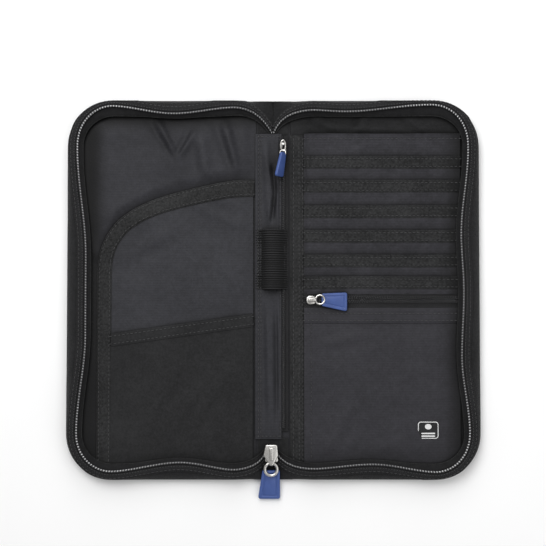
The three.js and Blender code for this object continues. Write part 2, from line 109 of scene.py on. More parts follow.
def ripples(x, y, seed, size, count=9):
    """Soft random waves of about the given size, from -1 to 1."""
    rng = np.random.default_rng(seed)
    total = np.zeros_like(np.asarray(x, float))
    for _ in range(count):
        angle = rng.uniform(0, math.pi)
        length = size * rng.uniform(0.6, 1.8)
        phase = rng.uniform(0, 2 * math.pi)
        total += np.sin((x * math.cos(angle) + y * math.sin(angle)) * 2 * math.pi / length + phase)
    return total / count * 1.6


def crease(x, y, x0, y0, x1, y1, width, depth, narrow=1.0):
    """A soft fold from (x0, y0) to (x1, y1), fading at its ends; its width goes to width * narrow."""
    dx, dy = x1 - x0, y1 - y0
    length = math.hypot(dx, dy)
    along = ((x - x0) * dx + (y - y0) * dy) / length**2
    across = ((x - x0) * dy - (y - y0) * dx) / length
    wide = width * (1 + (narrow - 1) * np.clip(along, 0, 1))
    fade = smooth((along + 0.1) / 0.4) * smooth((1.1 - along) / 0.4)
    profile = np.exp(-((across / wide) ** 2)) - 0.5 * np.exp(-(((across - 1.7 * wide) / wide) ** 2))
    return depth * fade * profile


def creases(x, y, rows):
    return sum(crease(x, y, *row) for row in rows)


def near(values, at, width):
    return np.exp(-(((values - at) / width) ** 2))


def run_length(path):
    """The distance along a line at each of its points."""
    return np.concatenate([[0], np.cumsum(np.linalg.norm(np.diff(path, axis=0), axis=1))])


def relax(values, times):
    """Evens out a row of numbers or points, whose two ends stay."""
    for _ in range(times):
        values[1:-1] = 0.25 * values[:-2] + 0.5 * values[1:-1] + 0.25 * values[2:]
    return values


def resample(path, step):
    """The same line with points an even step apart."""
    path = np.asarray(path, float)
    lengths = run_length(path)
    at = np.linspace(0, lengths[-1], max(2, int(round(lengths[-1] / step)) + 1))
    return np.stack([np.interp(at, lengths, column) for column in path.T], axis=1)


def unit(v):
    return v / np.maximum(np.linalg.norm(v, axis=-1, keepdims=True), 1e-9)


# ---- Making meshes ----
def shown(name, mesh, material_list):
    for material in material_list:
        mesh.materials.append(material)
    mesh.polygons.foreach_set("use_smooth", np.full(len(mesh.polygons), True))
    mesh.update()
    piece = bpy.data.objects.new(name, mesh)
    bpy.context.scene.collection.objects.link(piece)
    return piece


def make_object(name, verts, faces, materials, uvs=None, indices=None):
    mesh = bpy.data.meshes.new(name)
    mesh.from_pydata((np.asarray(verts) * MM).tolist(), [], faces)
    if uvs is not None:
        layer = mesh.uv_layers.new(name="UVMap")
        loops = np.zeros(len(mesh.loops), np.int32)
        mesh.loops.foreach_get("vertex_index", loops)
        layer.data.foreach_set("uv", np.asarray(uvs, np.float32)[loops].ravel())
    piece = shown(name, mesh, materials)
    if indices is not None:
        mesh.polygons.foreach_set("material_index", np.asarray(indices, np.int32))
    return piece


def surface_uv(points):
    """Distances along a grid's rows and columns, in millimetres."""
    du = np.linalg.norm(np.diff(points, axis=0), axis=2)
    dv = np.linalg.norm(np.diff(points, axis=1), axis=2)
    u = np.concatenate([np.zeros((1, points.shape[1])), np.cumsum(du, axis=0)])
    v = np.concatenate([np.zeros((points.shape[0], 1)), np.cumsum(dv, axis=1)], axis=1)
    return np.stack([u, v], axis=2)


def shell(name, points, thickness, material):
    """A closed thin sheet whose upper face is the grid of points."""
    rows, cols = points.shape[:2]
    normals = unit(np.cross(np.gradient(points, axis=0), np.gradient(points, axis=1)))
    if normals[..., 2].mean() < 0:
        points, normals = points[::-1], -normals[::-1]
    under = points - normals * thickness
    half = rows * cols
    index = np.arange(half).reshape(rows, cols)
    a, b = index[:-1, :-1].ravel(), index[1:, :-1].ravel()
    c, d = index[1:, 1:].ravel(), index[:-1, 1:].ravel()
    faces = np.stack([a, b, c, d], axis=1).tolist()
    faces += (np.stack([d, c, b, a], axis=1) + half).tolist()
    rim = np.concatenate([index[:, 0], index[-1, 1:], index[-2::-1, -1], index[0, -2:0:-1]]).tolist()
    faces += [[j, i, i + half, j + half] for i, j in zip(rim, rim[1:] + rim[:1])]
    uvs = np.concatenate([surface_uv(points).reshape(-1, 2)] * 2)
    verts = np.concatenate([points.reshape(-1, 3), under.reshape(-1, 3)])
    piece = make_object(name, verts, faces, [material], uvs)
    piece.data.set_sharp_from_angle(angle=math.radians(50))
    return piece


def loft(name, rings, materials, ring_materials=None):
    """A closed body through rings of points; ring_materials gives a material number per ring edge."""
    count, sides = rings.shape[:2]
    index = np.arange(count * sides).reshape(count, sides)
    turned = np.roll(index, -1, axis=1)
    faces = np.stack([index[:-1], turned[:-1], turned[1:], index[1:]], axis=2).reshape(-1, 4).tolist()
    faces += [index[0][::-1].tolist(), index[-1].tolist()]
    numbers = ring_materials * (count - 1) + [0, 0] if ring_materials else None
    along, around = run_length(rings.mean(axis=1)), run_length(rings[0])
    uvs = np.stack(np.meshgrid(along, around, indexing="ij"), axis=2).reshape(-1, 2)
    return fix_normals(make_object(name, rings.reshape(-1, 3), faces, materials, uvs, numbers))


def fix_normals(piece):
    shape = bmesh.new()
    shape.from_mesh(piece.data)
    bmesh.ops.recalc_face_normals(shape, faces=shape.faces)
    shape.to_mesh(piece.data)
    shape.free()
    return piece


def wire(name, centre, radius, sides, material, outward):
    """A tube along a line. outward is a direction at each point that is never along the line."""
    tangent = unit(np.gradient(centre, axis=0))
    first = unit(outward - tangent * (outward * tangent).sum(axis=1, keepdims=True))
    second = np.cross(tangent, first)
    angles = np.linspace(0, 2 * math.pi, sides, endpoint=False)
    rings = centre[:, None] + radius * (
        np.cos(angles)[None, :, None] * first[:, None] + np.sin(angles)[None, :, None] * second[:, None]
    )
    return loft(name, rings, [material])


def corner_at(corners, i):
    """A corner's place, the directions to its two neighbours, and half the angle between them."""
    corner, before, after = (
        np.array(corners[k % len(corners)][:2], float) for k in (i, i - 1, i + 1)
    )
    back, on = unit(before - corner), unit(after - corner)
    return corner, back, on, math.acos(np.clip(back @ on, -1, 1)) / 2


def rounded_outline(corners):
    """Corners [x, y, radius] as points, each radius an arc."""
    points = []
    for i, (_, _, radius) in enumerate(corners):
        corner, back, on, half = corner_at(corners, i)
        reach = radius / math.tan(half)
        middle = corner + unit(back + on) * radius / math.sin(half)
        start, end = corner + back * reach - middle, corner + on * reach - middle
        turn = math.atan2(start[0] * end[1] - start[1] * end[0], start @ end)
        for t in np.linspace(0, 1, 5):
            c, s = math.cos(turn * t), math.sin(turn * t)
            points.append(middle + [start[0] * c - start[1] * s, start[0] * s + start[1] * c])
    return points


def moved_in(corners, inset):
    """Corners [x, y, radius] of an outline drawn one distance inside another."""
    moved = []
    for i, (_, _, radius) in enumerate(corners):
        corner, back, on, half = corner_at(corners, i)
        moved.append((*(corner + unit(back + on) * inset / math.sin(half)), max(radius - inset, 0.3)))
    return moved


def slab(name, outline, z0, z1, material, bevel):
    """A thin plate of any outline with rounded edges."""
    shape = bmesh.new()
    face = shape.faces.new([shape.verts.new((x, y, z0)) for x, y in outline])
    made = bmesh.ops.extrude_face_region(shape, geom=[face])
    lifted = [v for v in made["geom"] if isinstance(v, bmesh.types.BMVert)]
    bmesh.ops.translate(shape, verts=lifted, vec=(0, 0, z1 - z0))
    bmesh.ops.recalc_face_normals(shape, faces=shape.faces)
    rims = [e for e in shape.edges if abs(e.verts[0].co.z - e.verts[1].co.z) < 1e-6]
    bmesh.ops.bevel(
        shape, geom=rims, offset=bevel, segments=2, profile=0.5, affect="EDGES", clamp_overlap=True
    )
    bmesh.ops.scale(shape, vec=(MM, MM, MM), verts=shape.verts)
    mesh = bpy.data.meshes.new(name)
    shape.to_mesh(mesh)
    shape.free()
    piece = shown(name, mesh, [material])
    piece.modifiers.new("edges", "WEIGHTED_NORMAL").keep_sharp = False
    return piece


def plate(name, corners, half, material, edge, groove=None):
    """A plate about z 0 with rounded edges; groove = (inset, width, depth) sinks a line in its face."""
    quarter = np.linspace(0, math.pi / 2, 5)
    levels = [(edge * (1 - math.sin(a)), -half + edge * (1 - math.cos(a))) for a in quarter]
    levels += [(edge * (1 - math.cos(a)), half - edge * (1 - math.sin(a))) for a in quarter]
    if groove:
        inset, width, depth = groove
        levels += [(inset + width * t, half - depth * math.sin(math.pi * t)) for t in np.linspace(0, 1, 7)]
    rings = [
        [(x, y, z) for x, y in rounded_outline(moved_in(corners, inset))] for inset, z in levels
    ]
    piece = loft(name, np.array(rings), [material])
    piece.data.set_sharp_from_angle(angle=math.radians(40))
    return piece


def placed(piece, place, turn=None):
    """Moves a piece's own vertices: turn is a 3x3 or 4x4 matrix, place is in millimetres."""
    matrix = Matrix.Translation(Vector(place) * MM)
    if turn is not None:
        matrix = matrix @ turn.to_4x4()
    piece.data.transform(matrix)
    return piece


# Stitches are gathered by what they are sewn to, and made as one piece each at the end.
stitch_lines = {}


def sew(group, path, pitch=2.7, length=1.75):
    stitch_lines.setdefault(group, []).append((resample(path, pitch), length))


def sew_on(group, x, y, height, lift=0.0, **stitch):
    """Stitches along a line on a sheet: height(x, y) is the sheet's level, or a number."""
    x, y = np.broadcast_arrays(x, y)
    level = height(x, y) if callable(height) else x * 0 + height
    sew(group, np.stack([x, y, level + lift], axis=1), **stitch)


def capsules(name, centres, directions, length, radius, material, flat=1.0, sides=6):
    """Many small rounded rods in one mesh; flat squashes them towards the cloth."""
    along = np.array([-1.0, -0.8, 0.0, 0.8, 1.0])
    around = np.array([0.12, 0.7, 1.0, 0.7, 0.12])
    angles = np.linspace(0, 2 * math.pi, sides, endpoint=False)
    side = unit(np.cross(directions, np.array([0, 0, 1.0])))
    up = np.cross(side, directions)
    rings = (
        centres[:, None, None]
        + directions[:, None, None] * along[None, :, None, None] * np.reshape(length, (-1, 1, 1, 1)) / 2
        + np.reshape(radius, (-1, 1, 1, 1)) * around[None, :, None, None] * (
            side[:, None, None] * np.cos(angles)[None, None, :, None]
            + up[:, None, None] * np.sin(angles)[None, None, :, None] * flat
        )
    )
    count = len(centres)
    index = np.arange(count * 5 * sides).reshape(count, 5, sides)
    turned = np.roll(index, -1, axis=2)
    faces = np.stack([index[:, :-1], turned[:, :-1], turned[:, 1:], index[:, 1:]], axis=3)
    faces = faces.reshape(-1, 4).tolist() + index[:, 0, ::-1].tolist() + index[:, -1].tolist()
    piece = make_object(name, rings.reshape(-1, 3), faces, [material])
    fix_normals(piece)
    return piece


STITCH_RADIUS = 0.2


def make_stitches(name, lines):
    centres = np.concatenate([points for points, _ in lines])
    directions = np.concatenate([unit(np.gradient(points, axis=0)) for points, _ in lines])
    lengths = np.concatenate([np.full(len(points), length) for points, length in lines])
    return capsules(name, centres, directions, lengths, STITCH_RADIUS, thread)


# ---- Materials ----
class Nodes:
    """A small helper that builds a material's node tree."""

    def __init__(self, name):
        self.material = bpy.data.materials.new(name)
        self.material.use_nodes = True
        self.tree = self.material.node_tree
        self.shader = self.tree.nodes["Principled BSDF"]

    def add(self, kind, **values):
        node = self.tree.nodes.new(kind)
        for key, value in values.items():
            setattr(node, key, value)
        return node

    def link(self, source, target):
        self.tree.links.new(source, target)

    def feed(self, socket, value):
        if isinstance(value, (int, float)):
            socket.default_value = value
        else:
            self.link(value, socket)

    def math(self, operation, *values):
        node = self.add("ShaderNodeMath", operation=operation)
        for socket, value in zip(node.inputs, values):
            self.feed(socket, value)
        return node.outputs[0]

    def place(self, kind="Object"):
        return self.add("ShaderNodeTexCoord").outputs[kind]

    def split(self, vector):
        node = self.add("ShaderNodeSeparateXYZ")
        self.link(vector, node.inputs[0])
        return node.outputs[0], node.outputs[1]

    def noise(self, vector, scale, detail, roughness=0.55):
        node = self.add("ShaderNodeTexNoise")
        self.link(vector, node.inputs["Vector"])
        for socket, value in (("Scale", scale), ("Detail", detail), ("Roughness", roughness)):
            node.inputs[socket].default_value = value
        return node.outputs["Fac"]

    def wave(self, value, pitch):
        """0 to 1 and back once per pitch."""
        turned = self.math("MULTIPLY", value, 2 * math.pi / pitch)
        return self.math("MULTIPLY_ADD", self.math("SINE", turned), 0.5, 0.5)

    def fade(self, value, start, end, first, last):
        """Goes smoothly from first to last as the value goes from start to end."""
        node = self.add("ShaderNodeMapRange", interpolation_type="SMOOTHSTEP")
        sockets = ("Value", "From Min", "From Max", "To Min", "To Max")
        for socket, number in zip(sockets, (value, start, end, first, last)):
            self.feed(node.inputs[socket], number)
        return node.outputs["Result"]

    def dimmed(self, colour, factor):
        node = self.add("ShaderNodeVectorMath", operation="SCALE")
        self.link(colour, node.inputs[0])
        self.link(factor, node.inputs["Scale"])
        return node.outputs[0]

    def ramp(self, value, stops):
        node = self.add("ShaderNodeValToRGB")
        self.link(value, node.inputs[0])
        elements = node.color_ramp.elements
        while len(elements) < len(stops):
            elements.new(0.5)
        for element, (at, colour) in zip(elements, stops):
            element.position = at
            element.color = (*colour, 1)
        return node.outputs[0]

    def bump(self, height, distance, strength=1.0, before=None):
        node = self.add("ShaderNodeBump")
        node.inputs["Distance"].default_value = distance * MM
        node.inputs["Strength"].default_value = strength
        self.link(height, node.inputs["Height"])
        if before is not None:
            self.link(before, node.inputs["Normal"])
        return node.outputs[0]

    def made(self, sockets):
        for socket, value in sockets.items():
            self.feed(self.shader.inputs[socket], value)
        return self.material


def tone(colour, factor):
    return tuple(min(1.0, c * factor) for c in colour)


def cloth_material(name, colour, pattern, rough=0.75, sheen=0.1, depth=0.12, spread=0.3,
                   slub=0.1, weave=0.15, speckle=0.3, shade=None):
    """Woven cloth: pattern(nodes, u, v) gives the thread height from 0 to 1, in millimetre UVs.

    shade = (start, end, least, both_ways) is painted shade: it darkens the colour towards the foot of the
    walls, where the cloth lies in shadow; start and end are distances from the middle in metres."""
    n = Nodes(name)
    threads = pattern(n, *n.split(n.place("UV")))
    place = n.place()
    broad = n.noise(place, 28.0, 3.0)
    mottle = n.noise(place, 240.0, 4.0, 0.7)
    fine = n.noise(place, 780.0, 3.0, 0.7)
    mixed = n.math("MULTIPLY", threads, weave)
    for part, share in ((broad, 0.2), (mottle, max(0.8 - weave - speckle, 0.1)), (fine, speckle)):
        mixed = n.math("ADD", mixed, n.math("MULTIPLY", part, share))
    dark, light = tone(colour, 1 - spread), tone(colour, 1 + spread)
    dyed = n.ramp(mixed, [(0.38, dark), (0.5, colour), (0.62, light)])
    # Painted shade: an ambient-occlusion node darkens the base colour in folds, corners and recesses, where
    # shade falls
    occlusion = n.add("ShaderNodeAmbientOcclusion", samples=6)
    occlusion.inputs["Distance"].default_value = 20.0 * MM
    painted_shade_factor = n.math("MULTIPLY_ADD", n.math("POWER", occlusion.outputs["AO"], 2.6), 0.92, 0.08)
    # Painted shade: the colour grows darker with distance from the middle, towards the walls' foot
    if shade:
        start, end, least, both_ways = shade
        across, along = n.split(place)
        reach = n.math("ABSOLUTE", across)
        if both_ways:
            reach = n.math("MAXIMUM", reach, n.math("ADD", n.math("ABSOLUTE", along), 0.004))
        painted_shade_factor = n.math("MULTIPLY", painted_shade_factor, n.fade(reach, start, end, 1.0, least))
    slubbed = n.bump(mottle, slub, 0.8, n.bump(threads, depth))
    return n.made({
        "Base Color": n.dimmed(dyed, painted_shade_factor),
        "Roughness": n.math("MULTIPLY_ADD", broad, -0.18, rough + 0.09),
        "Specular IOR Level": 0.22,
        "Sheen Weight": sheen,
        "Sheen Roughness": 0.45,
        "Normal": n.bump(fine, 0.12, 0.8, slubbed),
    })


def plain_weave(pitch):
    return lambda n, u, v: n.math("ABSOLUTE", n.math("SUBTRACT", n.wave(u, pitch), n.wave(v, pitch)))


def ripstop(n, u, v):
    weave = n.math("MULTIPLY", n.wave(u, 0.5), n.wave(v, 0.5))
    row = n.math("MULTIPLY", n.math("POWER", n.wave(v, 1.6), 4.0), 0.55)
    return n.math("MAXIMUM", n.math("MULTIPLY", weave, 0.5), row)


NYLON = {"pattern": ripstop, "rough": 0.62, "sheen": 0.09, "depth": 0.03}
TRIM = {  # ribs across the band
    "pattern": lambda n, u, v: n.wave(u, 0.55), "sheen": 0.12, "spread": 0.8, "slub": 0.22, "weave": 0.1,
    "speckle": 0.55,
}
outer_cloth = cloth_material(
    "outer_polyester", (0.0138, 0.0138, 0.0148), plain_weave(0.75), 0.85, spread=0.55, slub=0.22,
    speckle=0.5,
)
lining_cloth = cloth_material(
    "lining_nylon", (0.0225, 0.0225, 0.0272), **NYLON, shade=(0.104, 0.1165, 0.16, True)
)
document_cloth = cloth_material("document_nylon", (0.0262, 0.0264, 0.0315), **NYLON)
front_cloth = cloth_material(
    "pocket_nylon", (0.0255, 0.0248, 0.03), **NYLON, shade=(0.107, 0.119, 0.4, False)
)
slot_cloth = cloth_material(
    "slot_nylon", (0.0275, 0.0268, 0.0325), **NYLON, spread=0.4, shade=(0.105, 0.119, 0.35, False)
)
mesh_cloth = cloth_material(
    "pocket_twill", (0.0172, 0.0174, 0.0184), lambda n, u, v: n.wave(n.math("ADD", u, v), 0.7),
    spread=0.5, slub=0.16, speckle=0.4,
)
tape_cloth = cloth_material(
    "zip_tape_herringbone", (0.0145, 0.0145, 0.0155),
    lambda n, u, v: n.wave(n.math("ADD", u, n.math("PINGPONG", v, 1.3)), 1.3),
    0.8, 0.08, spread=0.7, slub=0.2, weave=0.3, speckle=0.35,
)
trim_cloth = cloth_material("grosgrain_binding", (0.0205, 0.0207, 0.0212), **TRIM)
hem_cloth = cloth_material(
    "slot_hem_binding", (0.0215, 0.0217, 0.0225), **TRIM, shade=(0.105, 0.119, 0.35, False)
)
elastic_cloth = cloth_material(
    "ribbed_elastic", (0.0105, 0.0105, 0.0112), lambda n, u, v: n.wave(v, RIB_PITCH), sheen=0.06,
    spread=0.9, weave=0.55, speckle=0.15, depth=0.02,
)
# Painted shade, in part: the walls' inner face is a darker cloth, and its darker tone also stands in for
# the shade at the walls' foot
inner_cloth = cloth_material(
    "wall_lining", (0.0115, 0.0115, 0.0125), plain_weave(0.6), sheen=0.08, spread=0.5, slub=0.2
)


def coil_material(name, colour, rough, metallic=0.0, painted_highlight_dim=None):
    """Plain moulded stuff; the last argument, when given, dims the colour away from the corners by that
    factor, a painted highlight that leaves the corner teeth brighter.
    """
    n = Nodes(name)
    place = n.place()
    streak = n.noise(place, 1200.0, 2.0)
    paint = n.ramp(streak, [(0.3, tone(colour, 0.8)), (0.7, tone(colour, 1.25))])
    # Painted highlight: the teeth near the corners keep their full colour, the rest is dimmed
    if painted_highlight_dim is not None:
        across, along = n.split(place)
        corner = n.math("MULTIPLY", n.math("SUBTRACT", n.noise(place, 45.0, 2.0), 0.5), 0.006)
        corner = n.math("ADD", n.math("ABSOLUTE", n.math("MULTIPLY", across, along)), corner)
        paint = n.dimmed(paint, n.fade(corner, 0.0075, 0.0125, painted_highlight_dim, 1.0))
    return n.made({
        "Base Color": paint,
        "Roughness": n.math("MULTIPLY_ADD", streak, 0.15, rough),
        "Specular IOR Level": 0.7,
        "Metallic": metallic,
    })


def mottled(name, scale, detail, stops, others):
    """One colour mottled by noise; others(nodes, mottle) gives the shader's other inputs."""
    n = Nodes(name)
    mottle = n.noise(n.place(), scale, detail)
    return n.made({"Base Color": n.ramp(mottle, stops), **others(n, mottle)})


thread = mottled(
    "stitching_thread", 2500.0, 1.0, [(0.3, (0.022, 0.022, 0.023)), (0.7, (0.07, 0.07, 0.073))],
    lambda n, mottle: {"Roughness": 0.5, "Normal": n.bump(mottle, 0.05)},
)
# The zip coil gets a painted highlight at the corners
coil_plastic = coil_material("zip_coil_nylon", (0.62, 0.62, 0.63), 0.24, 0.6, painted_highlight_dim=0.45)
dark_coil = coil_material("inner_coil_nylon", (0.018, 0.018, 0.02), 0.3)
metal = mottled(
    "polished_zinc", 220.0, 3.0, [(0.25, (0.5, 0.485, 0.46)), (0.75, (0.7, 0.69, 0.665))],
    lambda n, mottle: {
        "Metallic": 1.0,
        "Roughness": n.math("MULTIPLY_ADD", n.noise(n.place(), 2600.0, 2.0), 0.16, 0.2),
        "Normal": n.bump(mottle, 0.03, 0.3),
    },
)
rubber = mottled(
    "blue_rubber", 160.0, 3.0, [(0.3, (0.036, 0.070, 0.225)), (0.7, (0.05, 0.094, 0.29))],
    lambda n, mottle: {
        "Roughness": n.math("MULTIPLY_ADD", mottle, 0.2, 0.42),
        "Normal": n.bump(n.noise(n.place(), 3200.0, 2.0), 0.04, 0.7),
    },
)
white_print = mottled(
    "white_print", 2200.0, 2.0, [(0.25, (0.5, 0.5, 0.5)), (0.6, (0.78, 0.78, 0.78))],
    lambda n, mottle: {"Roughness": 0.6, "Normal": n.bump(mottle, 0.03)},
)


# ---- Camera, light and floor ----
VIEW_CENTRE = (-0.2, 10.35)
CAMERA_HEIGHT = 824.5
CAMERA_LEAN = -34.0  # the camera stands a little towards the bottom edge


def set_stage():
    scene = bpy.context.scene
    scene.view_settings.view_transform = "Standard"
    lens = bpy.data.cameras.new("camera")
    lens.lens = 85
    lens.sensor_width = 36
    camera = bpy.data.objects.new("camera", lens)
    scene.collection.objects.link(camera)
    camera.location = Vector((VIEW_CENTRE[0], VIEW_CENTRE[1] + CAMERA_LEAN, CAMERA_HEIGHT)) * MM
    aim = Vector((VIEW_CENTRE[0], VIEW_CENTRE[1], 4.0)) * MM - camera.location
    camera.rotation_euler = aim.to_track_quat("-Z", "Y").to_euler()
    scene.camera = camera

    world = bpy.data.worlds.new("studio")
    world.use_nodes = True
    world.node_tree.nodes["Background"].inputs[0].default_value = (1, 1, 1, 1)
    world.node_tree.nodes["Background"].inputs[1].default_value = 0.4
    scene.world = world

    for name, place, size, power in (
        ("key_light", (-260, 420, 900), 0.7, 6.2),
        ("fill_light", (480, -200, 700), 0.8, 1.8),
        ("back_light", (0, 620, 420), 0.5, 1.4),
    ):
        light = bpy.data.lights.new(name, "AREA")
        light.shape = "DISK"
        light.size = size
        light.energy = power
        lamp = bpy.data.objects.new(name, light)
        scene.collection.objects.link(lamp)
        lamp.location = Vector(place) * MM
        lamp.rotation_euler = (-lamp.location).to_track_quat("-Z", "Y").to_euler()

    paint = mottled(
        "studio_floor", 9.0, 2.0, [(0.3, (0.93, 0.93, 0.93)), (0.7, (0.95, 0.95, 0.95))],
        lambda n, mottle: {"Roughness": 0.9, "Specular IOR Level": 0.1},
    )
    corners = [(-3000, -3000, -0.3), (3000, -3000, -0.3), (3000, 3000, -0.3), (-3000, 3000, -0.3)]
    make_object("studio_floor", corners, [[0, 1, 2, 3]], [paint])


set_stage()


# ---- Fixing pieces to the bodies ----
LEFT, RIGHT = -1, 1
SIDE_NAME = {LEFT: "left", RIGHT: "right"}
# Pairs of distances from the middle, one per kind of piece, handed to bend()
RIM_BEND = (2.0, 16.0)
LINING_BEND = (11.0, 13.6)
SKIN_BEND = (12.1, 13.9)
POCKET_BEND = (12.2, 16.0)
BAND_BEND = (10.7, 14.2)


def labelled(piece, nodes):
    if nodes:
        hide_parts(*nodes)
    return piece


def fix(piece, body, slot, *nodes):
    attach(piece, body)
    return labelled(piece, nodes)


def bend(piece, side, span, slot, *nodes):
    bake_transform(piece)
    return labelled(piece, nodes)


def give_way(piece):
    """Gives a piece of cloth on the spine its own copy of its mesh."""
    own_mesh(piece)


def flatten(piece):
    """Gives a card slot piece its own copy of its mesh."""
    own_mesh(piece)


# ---- The covers' rims: padded wall, zip tape and coil ----
# Each rim runs from the spine's top end round the cover to the spine's bottom end. LEANS holds
# (share of the way, how far the coil leans in). The ends hold, from the spine outwards, the coil's
# x, y and z and the x of the outline point beside it, down where the two halves of the zip meet.
WALL_START = 11.0
STRAIGHT = OUTER - HINGE - WALL_START - CORNER
SIDE = 2 * (TOP - CORNER)
ARC = math.pi / 2 * CORNER
WALK = 2 * STRAIGHT + 2 * ARC + SIDE
COIL_LEVEL = WALL_TOP - 0.7
SHOULDER_DROP = 1.8
TAPE_REACH = 5.4

LEANS = {
    LEFT: [
        (0, 4), (0.095, 8), (0.19, 3), (0.29, 6), (0.45, 11.8), (0.57, 11.8), (0.71, 6.3), (0.81, 5),
        (0.917, 10.8), (1, 6),
    ],
    RIGHT: [
        (0, 5.7), (0.055, 6.7), (0.18, 2.3), (0.29, 6.7), (0.42, 11.5), (0.5, 10), (0.6, 11.5),
        (0.71, 6.7), (0.81, 4.6), (0.907, 9.6), (1, 6.7),
    ],
}
TOP_ENDS = {
    LEFT: [
        (1.0, 100.3, 5.0, 0.0), (2.6, 103.2, 5.3, 3.0), (5.4, 107.0, 6.1, 6.2), (8.6, 110.6, 7.4, 9.6),
        (12.4, 113.6, 8.8, 13.0), (17.6, 115.9, 10.0, 18.0),
    ],
    RIGHT: [
        (0.3, 100.3, 5.0, 0.0), (1.5, 104.0, 5.3, 3.0), (4.2, 108.0, 6.1, 6.2), (8.2, 111.0, 7.4, 9.6),
        (12.6, 112.9, 8.8, 13.0), (17.6, 114.2, 10.0, 18.0),
    ],
}
BOTTOM_ENDS = {
    LEFT: [
        (5.4, -104.6, 5.1, 1.6), (6.6, -107.2, 5.8, 4.4), (9.2, -109.9, 6.9, 8.6),
        (12.8, -112.2, 8.4, 13.0), (17.6, -113.7, 9.8, 18.0),
    ],
    RIGHT: [
        (2.4, -104.6, 5.1, 0.2), (4.6, -107.8, 5.8, 3.6), (8.2, -110.4, 6.9, 8.2),
        (12.8, -112.4, 8.4, 13.0), (17.6, -113.5, 9.8, 18.0),
    ],
}


def walk_place(s):
    """The outline's point a distance along the rim, and the direction inwards from it."""
    cx, cy = OUTER - CORNER, TOP - CORNER
    if s <= STRAIGHT:
        return HINGE + WALL_START + s, TOP, 0.0, -1.0
    if s <= STRAIGHT + ARC:
        angle = math.pi / 2 - (s - STRAIGHT) / CORNER
        x, y = math.cos(angle), math.sin(angle)
        return cx + CORNER * x, cy + CORNER * y, -x, -y
    if s <= STRAIGHT + ARC + SIDE:
        return OUTER, cy - (s - STRAIGHT - ARC), -1.0, 0.0
    if s <= STRAIGHT + 2 * ARC + SIDE:
        angle = -(s - STRAIGHT - ARC - SIDE) / CORNER
        x, y = math.cos(angle), math.sin(angle)
        return cx + CORNER * x, -cy + CORNER * y, -x, -y
    return cx - (s - STRAIGHT - 2 * ARC - SIDE), -TOP, 0.0, 1.0


def rim_line(side, step):
    """Rows of coil x, y, z and outline x, y an even step apart along the coil, as on the right."""

    def end_rows(ends, sign):
        return [(x, y, z, ox, sign * (TOP - 0.5 * near(ox, 12.5, 2.2))) for x, y, z, ox in ends]

    rows = end_rows(TOP_ENDS[side], 1)
    for s in np.arange(0, WALK + 0.1, 2.0):
        x, y, nx, ny = walk_place(min(s, WALK))
        lean = float(through(s / WALK, LEANS[side]))
        rows.append((x + nx * lean, y + ny * lean, COIL_LEVEL, x, y))
    rows = np.array(rows + end_rows(BOTTOM_ENDS[side][::-1], -1))
    # the places above are as seen from over the middle, and the coil stands nearer the eye
    nearer = ((rows[:, 2] - 4.5) / CAMERA_HEIGHT)[:, None]
    rows[:, :2] += (np.array([0.0, VIEW_CENTRE[1] + CAMERA_LEAN]) - rows[:, :2]) * nearer
    rows = relax(rows, 2)
    lengths = run_length(rows[:, :3])
    at = np.linspace(0, lengths[-1], int(lengths[-1] / step) + 1)
    return np.stack([np.interp(at, lengths, column) for column in rows.T], axis=1), at


class Rim:
    """Frames along a cover's rim: outline point, inward direction, lean and level at each station."""

    def __init__(self, side, step):
        rows, self.at = rim_line(side, step)
        coil, outline = rows[:, :2].copy(), rows[:, 3:].copy()
        self.level = rows[:, 2] - SHOULDER_DROP
        coil[:, 0] *= side
        outline[:, 0] *= side
        self.outline = outline
        self.lean = np.linalg.norm(coil - outline, axis=1)
        self.inward = unit(coil - outline)
        away = smooth((np.abs(outline[:, 0]) - 10.0) / 5.0)
        self.bottom = 3.0 - 2.6 * away
        reach = np.maximum(self.lean + 2.6, 10.0 * smooth((np.abs(coil[:, 0]) - 12) / 16))
        self.foot_reach = relax(reach, 40)
        wobble = ripples(self.at, self.at * 0, 11 + side, 26.0)
        self.level = self.level + 0.22 * wobble * smooth((np.abs(coil[:, 0]) - 14) / 8)

    def points(self, d, z):
        """World points at distance d in from the outline and height z, each a number per station."""
        flat = self.outline + self.inward * np.asarray(d)[:, None]
        return np.concatenate([flat, np.asarray(z)[:, None]], axis=1)

    def rings(self, section):
        columns = [self.points(d + self.lean * 0, z + self.lean * 0) for d, z in section]
        return np.stack(columns, axis=1)


def wall_section(rim, seed):
    """The wall's outline in section: under, up the outside, over the top, down the inner face."""
    edge = np.maximum(0.9, rim.lean - TAPE_REACH + 0.3)
    low, level = rim.bottom, rim.level
    middle = low + 0.42 * (level - low)
    foot = np.maximum(low, CONTENT_LOW)
    reach = rim.foot_reach - rim.lean
    bulge = 0.28 * ripples(rim.at, rim.at * 0, seed, 17.0)
    section = [(2.6, low), (1.2, low + 0.05), (0.45, low + 0.45), (0.08, low + 0.5 * (middle - low))]
    for t in np.linspace(0, 1, 7):
        angle = t * math.pi / 2
        puff = bulge * math.sin(2 * angle)
        section.append(
            (edge * (1 - math.cos(angle)) + puff * 0.4, middle + (level - middle) * math.sin(angle) + puff)
        )
    section += [(rim.lean - 1.2, level + 0.05), (rim.lean + 0.4, level - 0.1)]
    outside = len(section)
    drop = level - foot
    hollow = 0.25 * ripples(rim.at, rim.at * 0, seed + 5, 12.0)
    for share, out in ((0.08, 0.26), (0.16, 0.44), (0.24, 0.62), (0.32, 0.84), (0.42, 0.96), (0.5, 1.0)):
        section.append((rim.lean + out * reach, level - share * drop + hollow * math.sin(math.pi * out)))
    for share, back in ((0.6, 0.9), (0.8, 1.9), (1.0, 2.6)):
        section.append((rim.foot_reach - back, level - share * drop - 0.1))
    section += [(rim.foot_reach - 3.2, foot - 0.15), (np.minimum(4.4, rim.foot_reach - 3.6), low + 0.1)]
    return section, [0] * outside + [1] * (len(section) - outside)


